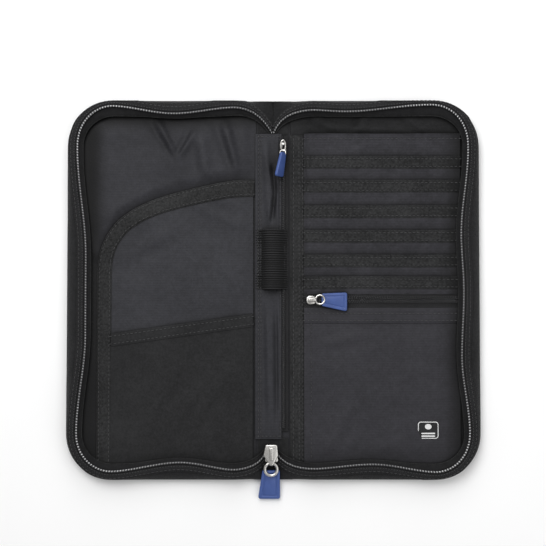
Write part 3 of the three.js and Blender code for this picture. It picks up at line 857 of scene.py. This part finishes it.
def add_rim(side):
    name = SIDE_NAME[side]
    up = np.array([[0, 0, 1.0]])
    rim = Rim(side, 1.1)
    section, numbers = wall_section(rim, 31 + side)
    wall = loft(name + "_wall_cloth", rim.rings(section), [outer_cloth, inner_cloth], numbers)
    bend(wall, side, RIM_BEND, "outer_fabric", name + "_gusset")

    outer = np.maximum(0.35, rim.lean - TAPE_REACH - 0.5)
    lift = rim.level + 0.12 * ripples(rim.at, rim.at * 0, 51 + side, 9.0)
    section = [
        (outer, rim.level - 0.25 * (rim.lean > 8)),
        (outer + 0.25, lift + 0.42),
        (0.5 * (outer + rim.lean), lift + 0.62),
        (rim.lean + 0.35, lift + 0.5),
        (rim.lean + 0.5, lift + 0.15),
        (0.5 * (outer + rim.lean), lift + 0.12),
    ]
    tape = loft(name + "_tape_cloth", rim.rings(section), [tape_cloth])
    bend(tape, side, RIM_BEND, "zip_tape", name + "_zip_tape")

    piping = Rim(side, 1.6)
    foot = np.maximum(piping.bottom, CONTENT_LOW)
    line = piping.points(piping.foot_reach - 0.1, foot + 0.5 * (piping.level - foot) + 0.05)
    bend(wire(name + "_wall_piping", line, 0.42, 8, trim_cloth, up), side, RIM_BEND, "binding")

    cord = Rim(side, 1.2)
    line = cord.points(cord.lean - 0.1, cord.level + SHOULDER_DROP - 0.95)
    bend(wire(name + "_coil_cord", line, 0.7, 8, dark_coil, up), side, RIM_BEND, "zip_coil")
    teeth = Rim(side, 1.76)
    centres = teeth.points(teeth.lean, teeth.level + SHOULDER_DROP - 0.3)
    across = np.concatenate([teeth.inward, np.zeros((len(centres), 1))], axis=1)
    slanted = unit(across + 0.25 * unit(np.gradient(centres, axis=0)))
    coil = capsules(name + "_coil_teeth", centres, slanted, 1.25, 0.4, coil_plastic, 1.1, 8)
    bend(coil, side, RIM_BEND, "zip_coil", name + "_zip_coil")

    seam = Rim(side, 2.0)
    group = name + "_rim_stitches"
    nearer = 2.6 * (seam.lean < 5.2) * (5.2 - seam.lean) / 3  # where the tape is narrow
    sew(group, seam.points(seam.lean - 4.5 + nearer, seam.level + 0.62))
    sew(group, seam.points(seam.lean - 2.3, seam.level + 0.72), pitch=1.76, length=1.1)


# ---- Flat sheets on the covers ----
def cover_columns(start, inset, step):
    """Column places across a cover and the half height of the rounded outline at each."""
    edge = OUTER - CORNER
    straight = np.arange(start, edge, step)
    angle = np.linspace(0, math.pi / 2, 16)
    x = np.concatenate([straight, edge + (CORNER - inset) * np.sin(angle)])
    half = np.concatenate(
        [np.full(len(straight), TOP - inset), TOP - CORNER + (CORNER - inset) * np.cos(angle)]
    )
    return x, half


def between(x, low, high, rows):
    """Grids of x and y whose columns run from low to high."""
    x = np.asarray(x, float)
    low = low + x * 0
    high = high + x * 0
    share = np.linspace(0, 1, rows)[None, :]
    return np.repeat(x[:, None], rows, axis=1), low[:, None] + (high - low)[:, None] * share


def grid(x, y, z):
    return np.stack([x, y, z + x * 0], axis=2)


def laid(name, x, low, high, rows, level, thickness, material):
    """A sheet over columns x, each from low to high, whose level is a function of x and y."""
    gx, gy = between(x, low, high, rows)
    return shell(name, grid(gx, gy, level(gx, gy)), thickness, material)


def hem_on(name, x, line, reach, rows, level, section, thickness, material):
    """A folded hem from reach[0] below a sheet's free edge to reach[1] above it.

    section = (rise, how far its top dips, how wide that is, the same two for its foot)."""
    rise, top_dip, top_width, foot_dip, foot_width = section

    def raised(gx, gy):
        share = (line[:, None] + reach[1] - gy) / sum(reach)
        dips = top_dip * near(share, 0, top_width) + foot_dip * near(share, 1, foot_width)
        return level(gx, gy) + rise - dips

    return laid(name, x, line - reach[0], line + reach[1], rows, raised, thickness, material)


def add_skins():
    columns, heights = cover_columns(11.9, 0.4, 1.0)
    x = np.concatenate([np.arange(11.9, 14.0, 0.3), columns[columns > 14.0]])
    half = np.interp(x, columns, heights)
    gx, gy = between(x, -half, half, 90)
    gz = 0.95 - 0.25 * near(gx, 12.6, 0.5)
    for side in (LEFT, RIGHT):
        name = SIDE_NAME[side]
        skin = shell(name + "_skin_cloth", grid(side * gx, gy, gz), 0.9, outer_cloth)
        bend(skin, side, SKIN_BEND, "outer_fabric", name + "_outer_skin")
    path = [(-119.0, 3.0), (-119.6, 2.3), (-119.8, 1.6), (-119.6, 1.1), (-118.8, 0.95)]
    path = np.array(path + [(0, 0.95)] + [(-y, z) for y, z in reversed(path)])
    path = np.concatenate([path[:5], resample(path[4:7], 3.0)[1:-1], path[6:]])
    columns = [np.insert(path, 0, x, axis=1) for x in np.linspace(-12.1, 12.1, 17)]
    skin = shell("spine_skin_cloth", np.stack(columns), 0.9, outer_cloth)
    fix(skin, "spine", "outer_fabric", "spine_outer_skin")


# ---- Left cover ----
POCKET_TOP = [
    (12.7, 69.9), (27, 69.4), (43, 66.2), (59, 62.5), (75, 57.7), (89, 51.4), (100, 43.5), (106, 35.0),
    (110, 26.6), (111.8, 17.0), (112.0, 8.0),
]


def pocket_edge():
    """The document pocket's free edge, from the spine across and down the far side, left at -X."""
    points = np.array([(-x, y, 0.0) for x, y in POCKET_TOP] + [(-112.0, BOTTOM_INSIDE, 0.0)])
    return relax(resample(points, 1.5), 14)


def left_lining_height(x, y):
    """x is negative. Soft folds in the open part over the pocket; flat beneath it."""
    top = np.interp(-x, *np.array(POCKET_TOP[:-1]).T)
    open_part = smooth((y - top + 1) / 9) * smooth((112 - y) / 6)
    folds = creases(x, y, (
        (-78, 115, -62, 84, 2.8, 2.4, 0.5), (-49, 102, -61, 83, 2.4, 1.7, 0.6),
        (-61, 86, -60, 64, 3.0, 0.5), (-33, 112, -22, 74, 3.4, 2.2, 0.7),
        (-47, 100, -42, 70, 3.8, 1.3), (-19, 108, -16, 74, 3.6, 0.9),
    ))
    wave = 0.5 * ripples(x, y, 3, 36.0) + 0.06 * ripples(x, y, 4, 12.0)
    body = smooth((-x - 12) / 16) * smooth((122 + x) / 15) * smooth((112 - y) / 15)
    return 2.95 + open_part * (0.3 + 1.7 * body + (folds + wave) * (0.3 + 0.7 * body))


def document_pocket_height(x, y):
    sag = 0.45 * ripples(x, y, 7, 46.0) + 0.16 * ripples(x, y, 8, 15.0)
    folds = creases(x, y, ((-20, 40, -60, 58, 3.0, 0.5), (-96, 20, -60, 40, 4.0, 0.5)))
    inside = smooth((-x - 12) / 8) * smooth((112 + x) / 10)
    return 4.1 + inside * (0.35 + sag + folds)


def mesh_top(x):
    """The mesh pocket's free edge; x is negative."""
    return -15.7 + (x + 12.3) * (28.4 - 15.7) / (103.0 - 12.3)


def mesh_pocket_height(x, y):
    wave = 0.4 * ripples(x, y, 12, 30.0) + 0.16 * ripples(x, y, 13, 12.0)
    folds = creases(x, y, (
        (-20, -40, -60, -100, 3.4, 0.9), (-48, -30, -88, -98, 3.6, 0.8), (-94, -40, -62, -104, 3.0, 0.6),
    ))
    inside = smooth((-x - 13) / 10) * smooth((103 + x) / 8) * smooth((y + 111) / 12)
    return document_pocket_height(x, y) + 0.5 + inside * (0.3 + wave + folds).clip(-0.05, None)


def add_lining(side, height, material):
    x, half = cover_columns(11.0, 4.0, 1.4)
    name = SIDE_NAME[side]
    lining = laid(name + "_lining_cloth", side * x, -half, half, 170, height, 0.45, material)
    bend(lining, side, LINING_BEND, "lining_nylon", name + "_lining")
    return lining


def add_left_contents():
    lining = add_lining(LEFT, left_lining_height, lining_cloth)
    edge = pocket_edge()
    far = 98 + 14 * np.sin(np.linspace(0, math.pi / 2, 26))
    columns = np.concatenate([[12.9, 13.4, 14.0, 14.7, 15.5], np.arange(16.4, 98, 1.3), far])
    order = np.argsort(-edge[:, 0], kind="stable")
    top = np.interp(columns, -edge[order, 0], edge[order, 1])
    top[-1] = 8.0
    pocket = laid(
        "document_pocket_cloth", -columns, BOTTOM_INSIDE, top - 0.6, 130, document_pocket_height, 0.45,
        document_cloth,
    )
    bend(pocket, LEFT, POCKET_BEND, "lining_nylon", "document_pocket")

    tangent = unit(np.gradient(edge, axis=0))
    inner = np.stack([-tangent[:, 1], tangent[:, 0], tangent[:, 2]], axis=1)
    share = np.linspace(0, 1, len(edge))
    width = 10.8 - 1.8 * smooth(share / 0.55)

    def band(offset, lift):
        line = edge + inner * offset[:, None]
        line[:, 2] = document_pocket_height(line[:, 0], line[:, 1]) + lift
        return line

    ruck = 0.12 * ripples(share * 300, share * 0, 21, 14.0)
    rows = []
    section = ((0, 0.15), (0.03, 0.5), (0.15, 0.62), (0.5, 0.66), (0.85, 0.58), (0.97, 0.48), (1, 0.1))
    for part, lift in section:
        rows.append(band(width * part, lift + ruck * math.sin(math.pi * part)))
    rows.append(band(width * 0.9, -0.05))
    rows.append(band(width * 0.1, -0.55))
    binding = loft("document_pocket_trim", np.stack(rows, axis=1), [trim_cloth])
    bend(binding, LEFT, POCKET_BEND, "binding", "document_pocket_binding")
    sew("document_pocket_stitches", band(width * 0.13, 0.68))
    sew("document_pocket_stitches", band(width * 0.86, 0.66))

    columns = np.concatenate([[13.1, 13.8, 14.5, 15.4], np.arange(16.4, 103.5, 1.4)])
    top = mesh_top(-columns)
    pocket = laid(
        "mesh_pocket_cloth", -columns, BOTTOM_INSIDE, top, 90, mesh_pocket_height, 0.35, mesh_cloth
    )
    bend(pocket, LEFT, POCKET_BEND, "pocket_twill", "mesh_pocket")
    hem = hem_on(
        "mesh_pocket_trim", -columns, top, (8.0, 0.2), 9, mesh_pocket_height,
        (0.55, 0.25, 0.08, 0.3, 0.06), 0.5, mesh_cloth,
    )
    bend(hem, LEFT, POCKET_BEND, "pocket_twill", "mesh_pocket_hem")
    for drop in (1.5, 6.4):
        sew_on("mesh_pocket_stitches", -columns, top - drop, mesh_pocket_height, 0.62)


# ---- Right cover ----
SLOT_EDGES = [99.3, 84.6, 69.3, 53.0, 37.3, 21.6, 7.7]
ZIP_Y = -6.7
PANEL_TOP = -12.0
PANEL_EDGE = 119.5  # pockets run out under the wall's foot
BAND = (10.7, 20.1)  # the vertical binding's two edges


def right_lining_height(x, y):
    folds = creases(x, y, (
        (24, 112, 46, 98, 2.4, 1.4), (60, 114, 52, 98, 2.6, 1.0), (84, 112, 100, 98, 2.8, 1.1),
        (34, 104, 92, 101, 1.8, 0.8),
    ))
    above = smooth((y - 98) / 5) * smooth((115 - y) / 4)
    return 3.05 + above * (0.7 + folds + 0.3 * ripples(x, y, 41, 18.0))


def slot_height(index, x, y):
    """Card slots lie like roof tiles: high at the free edge, under the next one lower down."""
    edge = SLOT_EDGES[index]
    share = np.clip((edge - y) / 24.0, 0, 1)
    wave = 0.2 * ripples(x, y, 60 + index, 30.0) + 0.22 * ripples(x, y * 0, 70 + index, 55.0)
    puckers = 0.3 * ripples(x, y * 0.4, 170 + index, 13.0) * smooth((edge - y - 6.5) / 3)
    inside = smooth((x - 20) / 7) * smooth((119 - x) / 8)
    sewn = 1.0 * (1 - smooth((x - 19.4) / 3.2))
    return 6.1 - sewn - 2.3 * share**0.6 + inside * (wave * (1 - 0.6 * share) + puckers)


def zip_panel_height(x, y):
    wave = 0.4 * ripples(x, y, 91, 40.0) + 0.16 * ripples(x, y, 92, 14.0)
    folds = creases(x, y, (
        (28, -36, 60, -28, 3.4, 0.5), (92, -100, 74, -52, 3.6, 0.6), (34, -104, 52, -70, 3.0, 0.5),
    ))
    inside = smooth((x - 24) / 9) * smooth((117 - x) / 9) * smooth((y + 111) / 12) * smooth((-22 - y) / 10)
    return 4.3 + inside * (0.45 + wave + folds)


def edge_wobble(x, seed, size):
    return size * ripples(x, x * 0, seed, 60.0)


def spiral(name, start, axis, length, pitch, wide, tall, radius, sign=1):
    """A zip's nylon coil from a start point along an axis, 0 for X or 1 for Y."""
    t = np.linspace(0, length, int(length / 0.11))
    angle = 2 * math.pi * t / pitch + (math.pi if sign > 0 and axis == 0 else 0)
    outward = np.zeros((len(t), 3))
    outward[:, 1 - axis] = np.cos(angle) * sign
    outward[:, 2] = np.sin(angle)
    line = np.array(start) + outward * [wide, wide, tall]
    line[:, axis] += t
    return wire(name, line, radius, 5, dark_coil, outward)


def add_card_slots(columns):
    for i, (edge, next_edge) in enumerate(zip(SLOT_EDGES, SLOT_EDGES[1:] + [-3.2])):
        bottom = max(next_edge - 8.0, -3.0) if i < 6 else -3.0
        line = edge + edge_wobble(columns, 80 + i, 0.22)
        level = functools.partial(slot_height, i)
        name = f"card_slot_{i + 1}"
        slot = laid(name + "_cloth", columns, bottom, line, 26, level, 0.4, slot_cloth)
        fix(slot, "right_cover", "lining_nylon", name)
        flatten(slot)
        seams, lift = (3.0,), 0.1
        if i > 0:
            hem = hem_on(
                f"card_slot_trim_{i + 1}", columns, line, (7.6, 0.25), 9, level,
                (0.34, 0.1, 0.07, 0.26, 0.1), 0.4, hem_cloth,
            )
            fix(hem, "right_cover", "binding", f"card_slot_hem_{i + 1}")
            flatten(hem)
            seams, lift = (1.4, 6.2), 0.42
        for drop in seams:
            sew_on("card_slot_stitches", columns, line - drop, level, lift)


def add_right_contents():
    add_lining(RIGHT, right_lining_height, mesh_cloth)
    columns = np.concatenate([[19.6, 20.2, 20.9], np.arange(21.7, PANEL_EDGE, 1.3)])
    add_card_slots(columns)

    # The horizontal zip: two tapes, two rows of teeth, and their sewing
    for name, low_y, high_y in (
        ("pocket_zip_upper_tape", ZIP_Y + 0.25, -2.6),
        ("pocket_zip_lower_tape", PANEL_TOP - 0.8, ZIP_Y - 0.25),
    ):
        gx, gy = between(columns, low_y, high_y, 12)
        gz = 4.55 + 0.35 * near(gy, ZIP_Y, 2.2) + 0.12 * ripples(gx, gy, 95, 22.0)
        tape = shell(name + "_cloth", grid(gx, gy, gz), 0.45, tape_cloth)
        fix(tape, "right_cover", "zip_tape", name)
    for sign, row, nodes in ((-1, "lower", ()), (1, "upper", ("pocket_zip_chain",))):
        place = (22.0, ZIP_Y + sign * 0.8, 5.05)
        teeth = spiral("pocket_zip_teeth_" + row, place, 0, 95, 1.5, 0.75, 0.4, 0.24, sign)
        fix(teeth, "right_cover", "zip_coil", *nodes)
        sew_on("pocket_zip_stitches", columns, ZIP_Y + sign * 1.9, 5.15, pitch=1.6, length=1.0)

    # The zip pocket's front
    panel_columns = np.concatenate([[19.6, 20.3], np.arange(21.2, PANEL_EDGE, 1.3)])
    line = PANEL_TOP + edge_wobble(panel_columns, 97, 0.15)
    panel = laid(
        "zip_pocket_cloth", panel_columns, BOTTOM_INSIDE, line, 100, zip_panel_height, 0.45, front_cloth
    )
    fix(panel, "right_cover", "lining_nylon", "zip_pocket_panel")
    hem = hem_on(
        "zip_pocket_trim", panel_columns, line, (9.8, 0.2), 12, zip_panel_height,
        (0.55, 0.25, 0.06, 0.35, 0.05), 0.5, front_cloth,
    )
    fix(hem, "right_cover", "lining_nylon", "zip_pocket_hem")
    for drop in (3.4, 7.9):
        sew_on("zip_pocket_stitches", panel_columns, line - drop, zip_panel_height, 0.62)
    down = np.arange(PANEL_TOP - 2, BOTTOM_INSIDE + 3, -2.0)
    sew_on("zip_pocket_stitches", 24.0, down, zip_panel_height, 0.1)

    # The vertical band beside the spine
    across = np.linspace(BAND[0], BAND[1], 22)
    along = np.linspace(BOTTOM_INSIDE + 0.5, 98.6, 150)
    gx, gy = np.meshgrid(across, along, indexing="ij")
    rounded = 1 - near(gx, BAND[1], 0.5) * 0.25 - near(gx, BAND[0], 0.6) * 0.6
    gz = 3.2 + 0.45 * smooth((gx - BAND[0]) / 2.6) * rounded + 0.06 * ripples(gx, gy, 99, 15.0)
    band = shell("side_zip_trim", grid(gx, gy, gz), 0.6, trim_cloth)
    bend(band, RIGHT, BAND_BEND, "binding", "side_zip_binding")
    for x in (12.9, 16.4, 18.8):
        sew_on("side_zip_trim_stitches", x, along[2:-2], 3.68)


# ---- Spine ----
STRIP = (-11.5, 8.8, -95.0, 99.5)
SIDE_ZIP_X = 6.6


def strip_height(x, y):
    folds = creases(x, y, (
        (-4.6, 98, -3.0, 42, 2.4, 0.9), (-0.8, 80, 1.4, 60, 1.3, -1.3), (1.2, 62, -1.2, 42, 1.3, -1.2),
        (3.0, 74, 2.0, 44, 1.2, 0.6), (-4.0, -2, -2.0, -92, 2.2, 1.0), (1.6, -6, 2.6, -90, 1.5, -1.0),
    ))
    inside = smooth((x + 10.2) / 3) * smooth((4.6 - x) / 2.0)
    level = 3.3 + 0.5 * smooth((-8.8 - x) / 1.5) + 0.45 * smooth((x - 1.5) / 2)
    return level + inside * (0.55 + folds + 0.25 * ripples(x, y, 111, 16.0))


def add_spine():
    across = np.linspace(STRIP[0], 5.2, 38)
    along = np.linspace(STRIP[2], STRIP[3], 240)
    gx, gy = np.meshgrid(across, along, indexing="ij")
    strip = shell("spine_strip_cloth", grid(gx, gy, strip_height(gx, gy)), 0.4, document_cloth)
    fix(strip, "spine", "lining_nylon")
    give_way(strip)
    for x in (-9.4, -7.9, 4.3):
        sew_on("spine_stitches", x, along[2:-2], strip_height, 0.1)
    for y in (STRIP[3] - 1.8, STRIP[2] + 1.8):
        sew_on("spine_stitches", np.arange(-9.5, 4.0, 0.8), y, strip_height, 0.1)

    # Side zip: tapes, teeth and sewing
    for name, x0, x1 in (("side_zip_inner_tape", 3.4, 6.45), ("side_zip_outer_tape", 6.75, 9.6)):
        along = np.linspace(-90.0, 98.5, 150)
        gx, gy = np.meshgrid(np.linspace(x0, x1, 7), along, indexing="ij")
        gz = 3.35 + 0.25 * near(gx, SIDE_ZIP_X, 1.4) + 0.06 * ripples(gx, gy, 121, 12.0)
        tape = shell(name + "_cloth", grid(gx, gy, gz), 0.4, tape_cloth)
        fix(tape, "spine", "zip_tape", name)
    teeth = spiral("side_zip_teeth", (SIDE_ZIP_X, -88.0, 3.95), 1, 180, 1.4, 0.95, 0.35, 0.22)
    fix(teeth, "spine", "zip_coil", "side_zip_chain")
    add_pen_loop()

    # Where the zip's two ends meet, sewn down over the spine
    for name, y0, y1, node in (
        ("zip_top_patch", 99.0, 119.6, "zip_top_tab"),
        ("zip_bottom_patch", -119.6, -94.5, "zip_bottom_tab"),
    ):
        gx, gy = np.meshgrid(np.linspace(-9.5, 9.5, 24), np.linspace(y0, y1, 36), indexing="ij")
        gz = 3.05 + 0.12 * ripples(gx, gy, 131, 9.0)
        patch = shell(name, grid(gx, gy, gz), 0.35, mesh_cloth)
        fix(patch, "spine", "outer_fabric", node)


def add_pen_loop():
    """A ribbed elastic loop with its sewn tail."""
    profile = np.array([
        (-11.3, 3.75), (-10.2, 3.85), (-9.0, 3.8), (-7.9, 3.95), (-7.0, 4.6), (-6.5, 5.9), (-5.6, 7.2),
        (-4.0, 8.2), (-2.0, 8.75), (0.0, 8.8), (2.0, 8.3), (4.0, 7.3), (5.6, 6.0), (6.8, 4.9), (7.8, 4.2),
        (8.7, 3.75),
    ])
    for _ in range(2):
        profile = relax(resample(profile, 0.5), 1)
    along = np.arange(0.0, 38.01, 0.16)
    side = np.gradient(profile, axis=0)
    out = unit(np.stack([-side[:, 1], side[:, 0]], axis=1))
    rise = 0.2 * np.sin(2 * math.pi * along / RIB_PITCH) - 0.25 * np.sin(math.pi * along / 38.0) ** 2
    px, pz = (profile[:, k][:, None] + out[:, k][:, None] * rise[None, :] for k in (0, 1))
    py = np.repeat(along[None, :], len(profile), axis=0)
    loop = shell("pen_loop_elastic", np.stack([px, py, pz], axis=2), 0.7, elastic_cloth)
    fix(loop, "spine", "elastic", "pen_loop")
    give_way(loop)
    sew_on("pen_loop_stitches", -9.9, np.linspace(1, 37, 16), 4.1, pitch=2.0, length=1.3)


# ---- Metalwork and rubber tabs ----
def node_axes(node):
    """A flat CAD node's points, the middle of its box, and its axes, the thin one last."""
    source = frame["nodes"][node]
    points = np.array([source.matrix_world @ v.co for v in source.data.vertices]) / MM
    centre = 0.5 * (points.min(axis=0) + points.max(axis=0))
    return points, centre, np.linalg.svd(points - points.mean(axis=0), full_matrices=False)[2]


def tab_like(name, node, down, edge, groove, shift):
    """A rounded plate with a sunken line, in a CAD tab's plane and over its four-sided outline."""
    points, centre, axes = node_axes(node)
    normal = axes[2] * (1 if axes[2][2] > 0 else -1)
    along = unit(np.array(down) - normal * (np.array(down) @ normal))
    across = np.cross(along, normal)
    u, v = (points - centre) @ across, (points - centre) @ along
    first, last = v.min(), v.max()
    edges = np.array([e.vertices[:] for e in frame["nodes"][node].data.edges]).T
    sides = []
    for share in (0.3, 0.7):
        level = first + (last - first) * share
        a, b = edges[:, np.prod(v[edges] - level, axis=0) < 0]
        crossed = u[a] + (u[b] - u[a]) * (level - v[a]) / (v[b] - v[a])
        sides.append((crossed.min(), crossed.max()))
    slope = [(b - a) / 0.4 for a, b in zip(*sides)]
    corners = [
        (sides[0][0] - slope[0] * 0.3, first, 1.1),
        (sides[0][1] - slope[1] * 0.3, first, 1.1),
        (sides[0][1] + slope[1] * 0.7, last, 1.3),
        (sides[0][0] + slope[0] * 0.7, last, 1.3),
    ]
    half = min(np.abs((points - centre) @ normal).max(), 1.2)
    piece = plate(name, corners, half, rubber, edge, groove)
    turn = Matrix([across, along, normal]).transposed()
    return placed(piece, centre + np.array(shift), turn)


def ring_like(name, node, place, axis, raised):
    """A fine torus in place of a CAD ring, swung up a little about the place where it hangs."""
    points, centre, axes = node_axes(node)
    flat = (points - centre) @ axes.T
    wire_radius = np.abs(flat[:, 2]).max()
    middle = np.abs(flat[:, :2]).max() - wire_radius
    around, sides = 48, 16
    a, b = (np.linspace(0, 2 * math.pi, n, endpoint=False) for n in (around, sides))
    spokes = np.cos(a)[:, None] * axes[0] + np.sin(a)[:, None] * axes[1]
    reach = (middle + wire_radius * np.cos(b))[:, None]
    verts = centre + spokes[:, None] * reach + (wire_radius * np.sin(b))[:, None] * axes[2]
    index = np.arange(around * sides).reshape(around, sides)
    onward = np.roll(index, -1, axis=0)
    faces = np.stack([index, onward, np.roll(onward, -1, axis=1), np.roll(index, -1, axis=1)], axis=2)
    piece = fix_normals(make_object(name, verts.reshape(-1, 3), faces.reshape(-1, 4).tolist(), [metal]))
    about = Matrix.Translation(Vector(place) * MM)
    swing = Matrix.Rotation(math.radians(raised), 4, Vector(axis))
    piece.data.transform(about @ swing @ about.inverted())
    return piece


def shield(name, corners, low_z, high_z, edge, body, *nodes):
    half = 0.5 * (high_z - low_z)
    piece = placed(plate(name, corners, half, metal, edge), (0, 0, low_z + half))
    fix(piece, body, "slider_metal", *nodes)


def bail(name, centre, long_reach, short_reach, radius, lean, body, *nodes):
    """A small closed wire loop, its far end lifted by the lean angle in degrees."""
    t = np.linspace(0, 2 * math.pi, 41)
    flat = np.stack([np.cos(t) * short_reach, np.sin(t) * long_reach, t * 0], axis=1)
    turn = np.array(Matrix.Rotation(math.radians(lean), 3, "X"))
    line = np.array(centre) + flat @ turn.T
    loop = wire(name, line, radius, 10, metal, line - np.array(centre) + [0, 0, 1e-3])
    fix(loop, body, "slider_metal", *nodes)


def add_metalwork():
    # The large slider: a body with the chain in it, and a shield-shaped plate above
    wide = [(-5.4, -109.4, 1.2), (3.2, -109.4, 1.2), (2.0, -100.2, 1.2), (-4.6, -100.2, 1.2)]
    shield("main_slider_body_metal", wide, 3.6, 6.4, 0.5, "spine", "main_slider_body")
    pointed = [
        (-2.0, -111.4, 0.9), (-0.2, -111.4, 0.9), (3.1, -104.9, 1.6), (2.5, -98.1, 1.0), (-4.9, -98.1, 1.0),
        (-6.3, -104.9, 1.6),
    ]
    shield("main_slider_bridge_metal", pointed, 7.6, 9.2, 0.7, "spine", "main_slider_bridge")
    ridge = [(-2.2, -108.2, 0.6), (0.0, -108.2, 0.6), (0.4, -100.0, 0.8), (-2.8, -100.0, 0.8)]
    shield("main_slider_ridge_metal", ridge, 8.6, 9.85, 0.55, "spine")
    # The side pocket's slider: two rails, a wire crown and a nose over the chain
    for label, x in (("left", 5.1), ("right", 7.6)):
        rail = [(x - 0.55, 87.7, 0.5), (x + 0.65, 87.7, 0.5), (x + 0.65, 93.6, 0.5), (x - 0.55, 93.6, 0.5)]
        nodes = ["side_slider_body"] if label == "left" else []
        shield(f"side_slider_{label}_rail", rail, 3.6, 5.4, 0.4, "side_slider", *nodes)
    nose = [(4.6, 91.9, 0.7), (8.2, 91.9, 0.7), (7.7, 93.9, 0.7), (5.1, 93.9, 0.7)]
    shield("side_slider_nose", nose, 3.8, 5.5, 0.4, "side_slider")
    bail("side_slider_crown", (6.2, 91.6, 6.4), 3.4, 1.55, 0.58, 9, "side_slider", "side_slider_bridge")
    # The zip pocket's slider: a round body with a crown
    disc = [(21.0, -10.0, 2.4), (27.0, -9.4, 2.0), (27.0, -4.3, 2.0), (21.0, -3.9, 2.4)]
    shield("pocket_slider_body_metal", disc, 4.3, 6.0, 0.5, "pocket_slider", "pocket_slider_body")
    crown = [(21.9, -8.3, 1.0), (27.4, -7.8, 0.9), (27.4, -5.7, 0.9), (21.9, -5.4, 1.0)]
    shield("pocket_slider_bridge_metal", crown, 6.6, 8.2, 0.6, "pocket_slider", "pocket_slider_bridge")
    for node, body, joint, axis, raised in (
        ("main_pull_ring", "main_pull", "main_pull_swing", (1, 0, 0), -22),
        ("side_pull_ring", "side_pull", "side_pull_swing", (1, 0, 0), 0),
        ("pocket_pull_ring", "pocket_pull", "pocket_pull_swing", (0, -1, 0), 8),
    ):
        ring = ring_like(node + "_metal", node, joint_place(joint), axis, raised)
        if body == "side_pull":
            placed(ring, (-0.55, 0, 0))
        fix(ring, body, "slider_metal", node)
    for node, body, down, edge, groove, shift in (
        ("main_pull_tab", "main_pull", (0, -1, 0), 0.7, (1.7, 1.1, 0.4), (0, 0.2, -1.1)),
        ("side_pull_tab", "side_pull", (0, -1, 0), 0.6, None, (-0.3, 0, 0)),
        ("pocket_pull_tab", "pocket_pull", (1, 0, 0), 0.6, (1.5, 1.0, 0.35), (0.3, 0, -0.6)),
    ):
        tab = tab_like(node + "_rubber", node, down, edge, groove, shift)
        fix(tab, body, "pull_rubber", node)


# ---- Woven label on the zip pocket ----
def add_badge():
    """A sewn label whose picture is a disc over two bars."""
    x, y = 98.1, -89.3
    level = float(zip_panel_height(np.array(x), np.array(y))) + 0.35

    def box_outline(middle_y, w, h, radius):
        ends = ((-1, -1), (1, -1), (1, 1), (-1, 1))
        return rounded_outline([(x + i * w / 2, middle_y + j * h / 2, radius) for i, j in ends])

    turns = np.linspace(0, 2 * math.pi, 28, endpoint=False)
    disc = [(x + 2.1 * math.cos(a), y + 2.2 + 1.7 * math.sin(a)) for a in turns]
    for part, outline, low, top, material, bevel in (
        ("rim", box_outline(y, 13.0, 10.7, 1.8), -0.6, 0.12, white_print, 0.1),
        ("face", box_outline(y, 12.0, 9.7, 1.4), -0.4, 0.2, mesh_cloth, 0.05),
        ("disc", disc, 0, 0.3, white_print, 0.05),
        ("bar_1", box_outline(y - 2.05, 8.6, 0.9, 0.3), 0, 0.3, white_print, 0.05),
        ("bar_2", box_outline(y - 3.75, 8.6, 0.9, 0.3), 0, 0.3, white_print, 0.05),
    ):
        piece = slab("zip_pocket_badge_" + part, outline, level + low, level + top, material, bevel)
        fix(piece, "right_cover", "badge", *(["zip_pocket_badge"] if part == "rim" else []))


# ---- Building everything ----
for side in (LEFT, RIGHT):
    add_rim(side)
add_skins()
add_left_contents()
add_right_contents()
add_spine()
add_metalwork()
add_badge()

# What each group of stitches is sewn to: a body, or a side and a span
SEWN_TO = {
    "left_rim_stitches": (LEFT, RIM_BEND, "zip_tape"),
    "right_rim_stitches": (RIGHT, RIM_BEND, "zip_tape"),
    "document_pocket_stitches": (LEFT, POCKET_BEND, "binding"),
    "mesh_pocket_stitches": (LEFT, POCKET_BEND, "pocket_twill"),
    "card_slot_stitches": ("right_cover", None, "binding"),
    "pocket_zip_stitches": ("right_cover", None, "zip_tape"),
    "zip_pocket_stitches": ("right_cover", None, "lining_nylon"),
    "side_zip_trim_stitches": (RIGHT, BAND_BEND, "binding"),
    "spine_stitches": ("spine", None, "lining_nylon"),
    "pen_loop_stitches": ("spine", None, "elastic"),
}
for group, lines in stitch_lines.items():
    holder, span, slot_name = SEWN_TO[group]
    piece = make_stitches(group, lines)
    if span:
        bend(piece, holder, span, slot_name)
    else:
        fix(piece, holder, slot_name)
    if group == "spine_stitches":
        give_way(piece)
    elif group == "pen_loop_stitches":
        give_way(piece)
    elif group == "card_slot_stitches":
        flatten(piece)

# Sheets that stay inside keep their CAD shape
board = coil_material("stiffening_board", (0.02, 0.02, 0.02), 0.8)
foil = coil_material("shield_foil", (0.5, 0.5, 0.52), 0.4)
for node, material in (
    ("left_board", board), ("right_board", board), ("spine_board", board), ("shield_sheet", foil),
    ("spine_lining", lining_cloth),
):
    piece = frame["nodes"][node]
    piece.data.materials.clear()
    piece.data.materials.append(material)
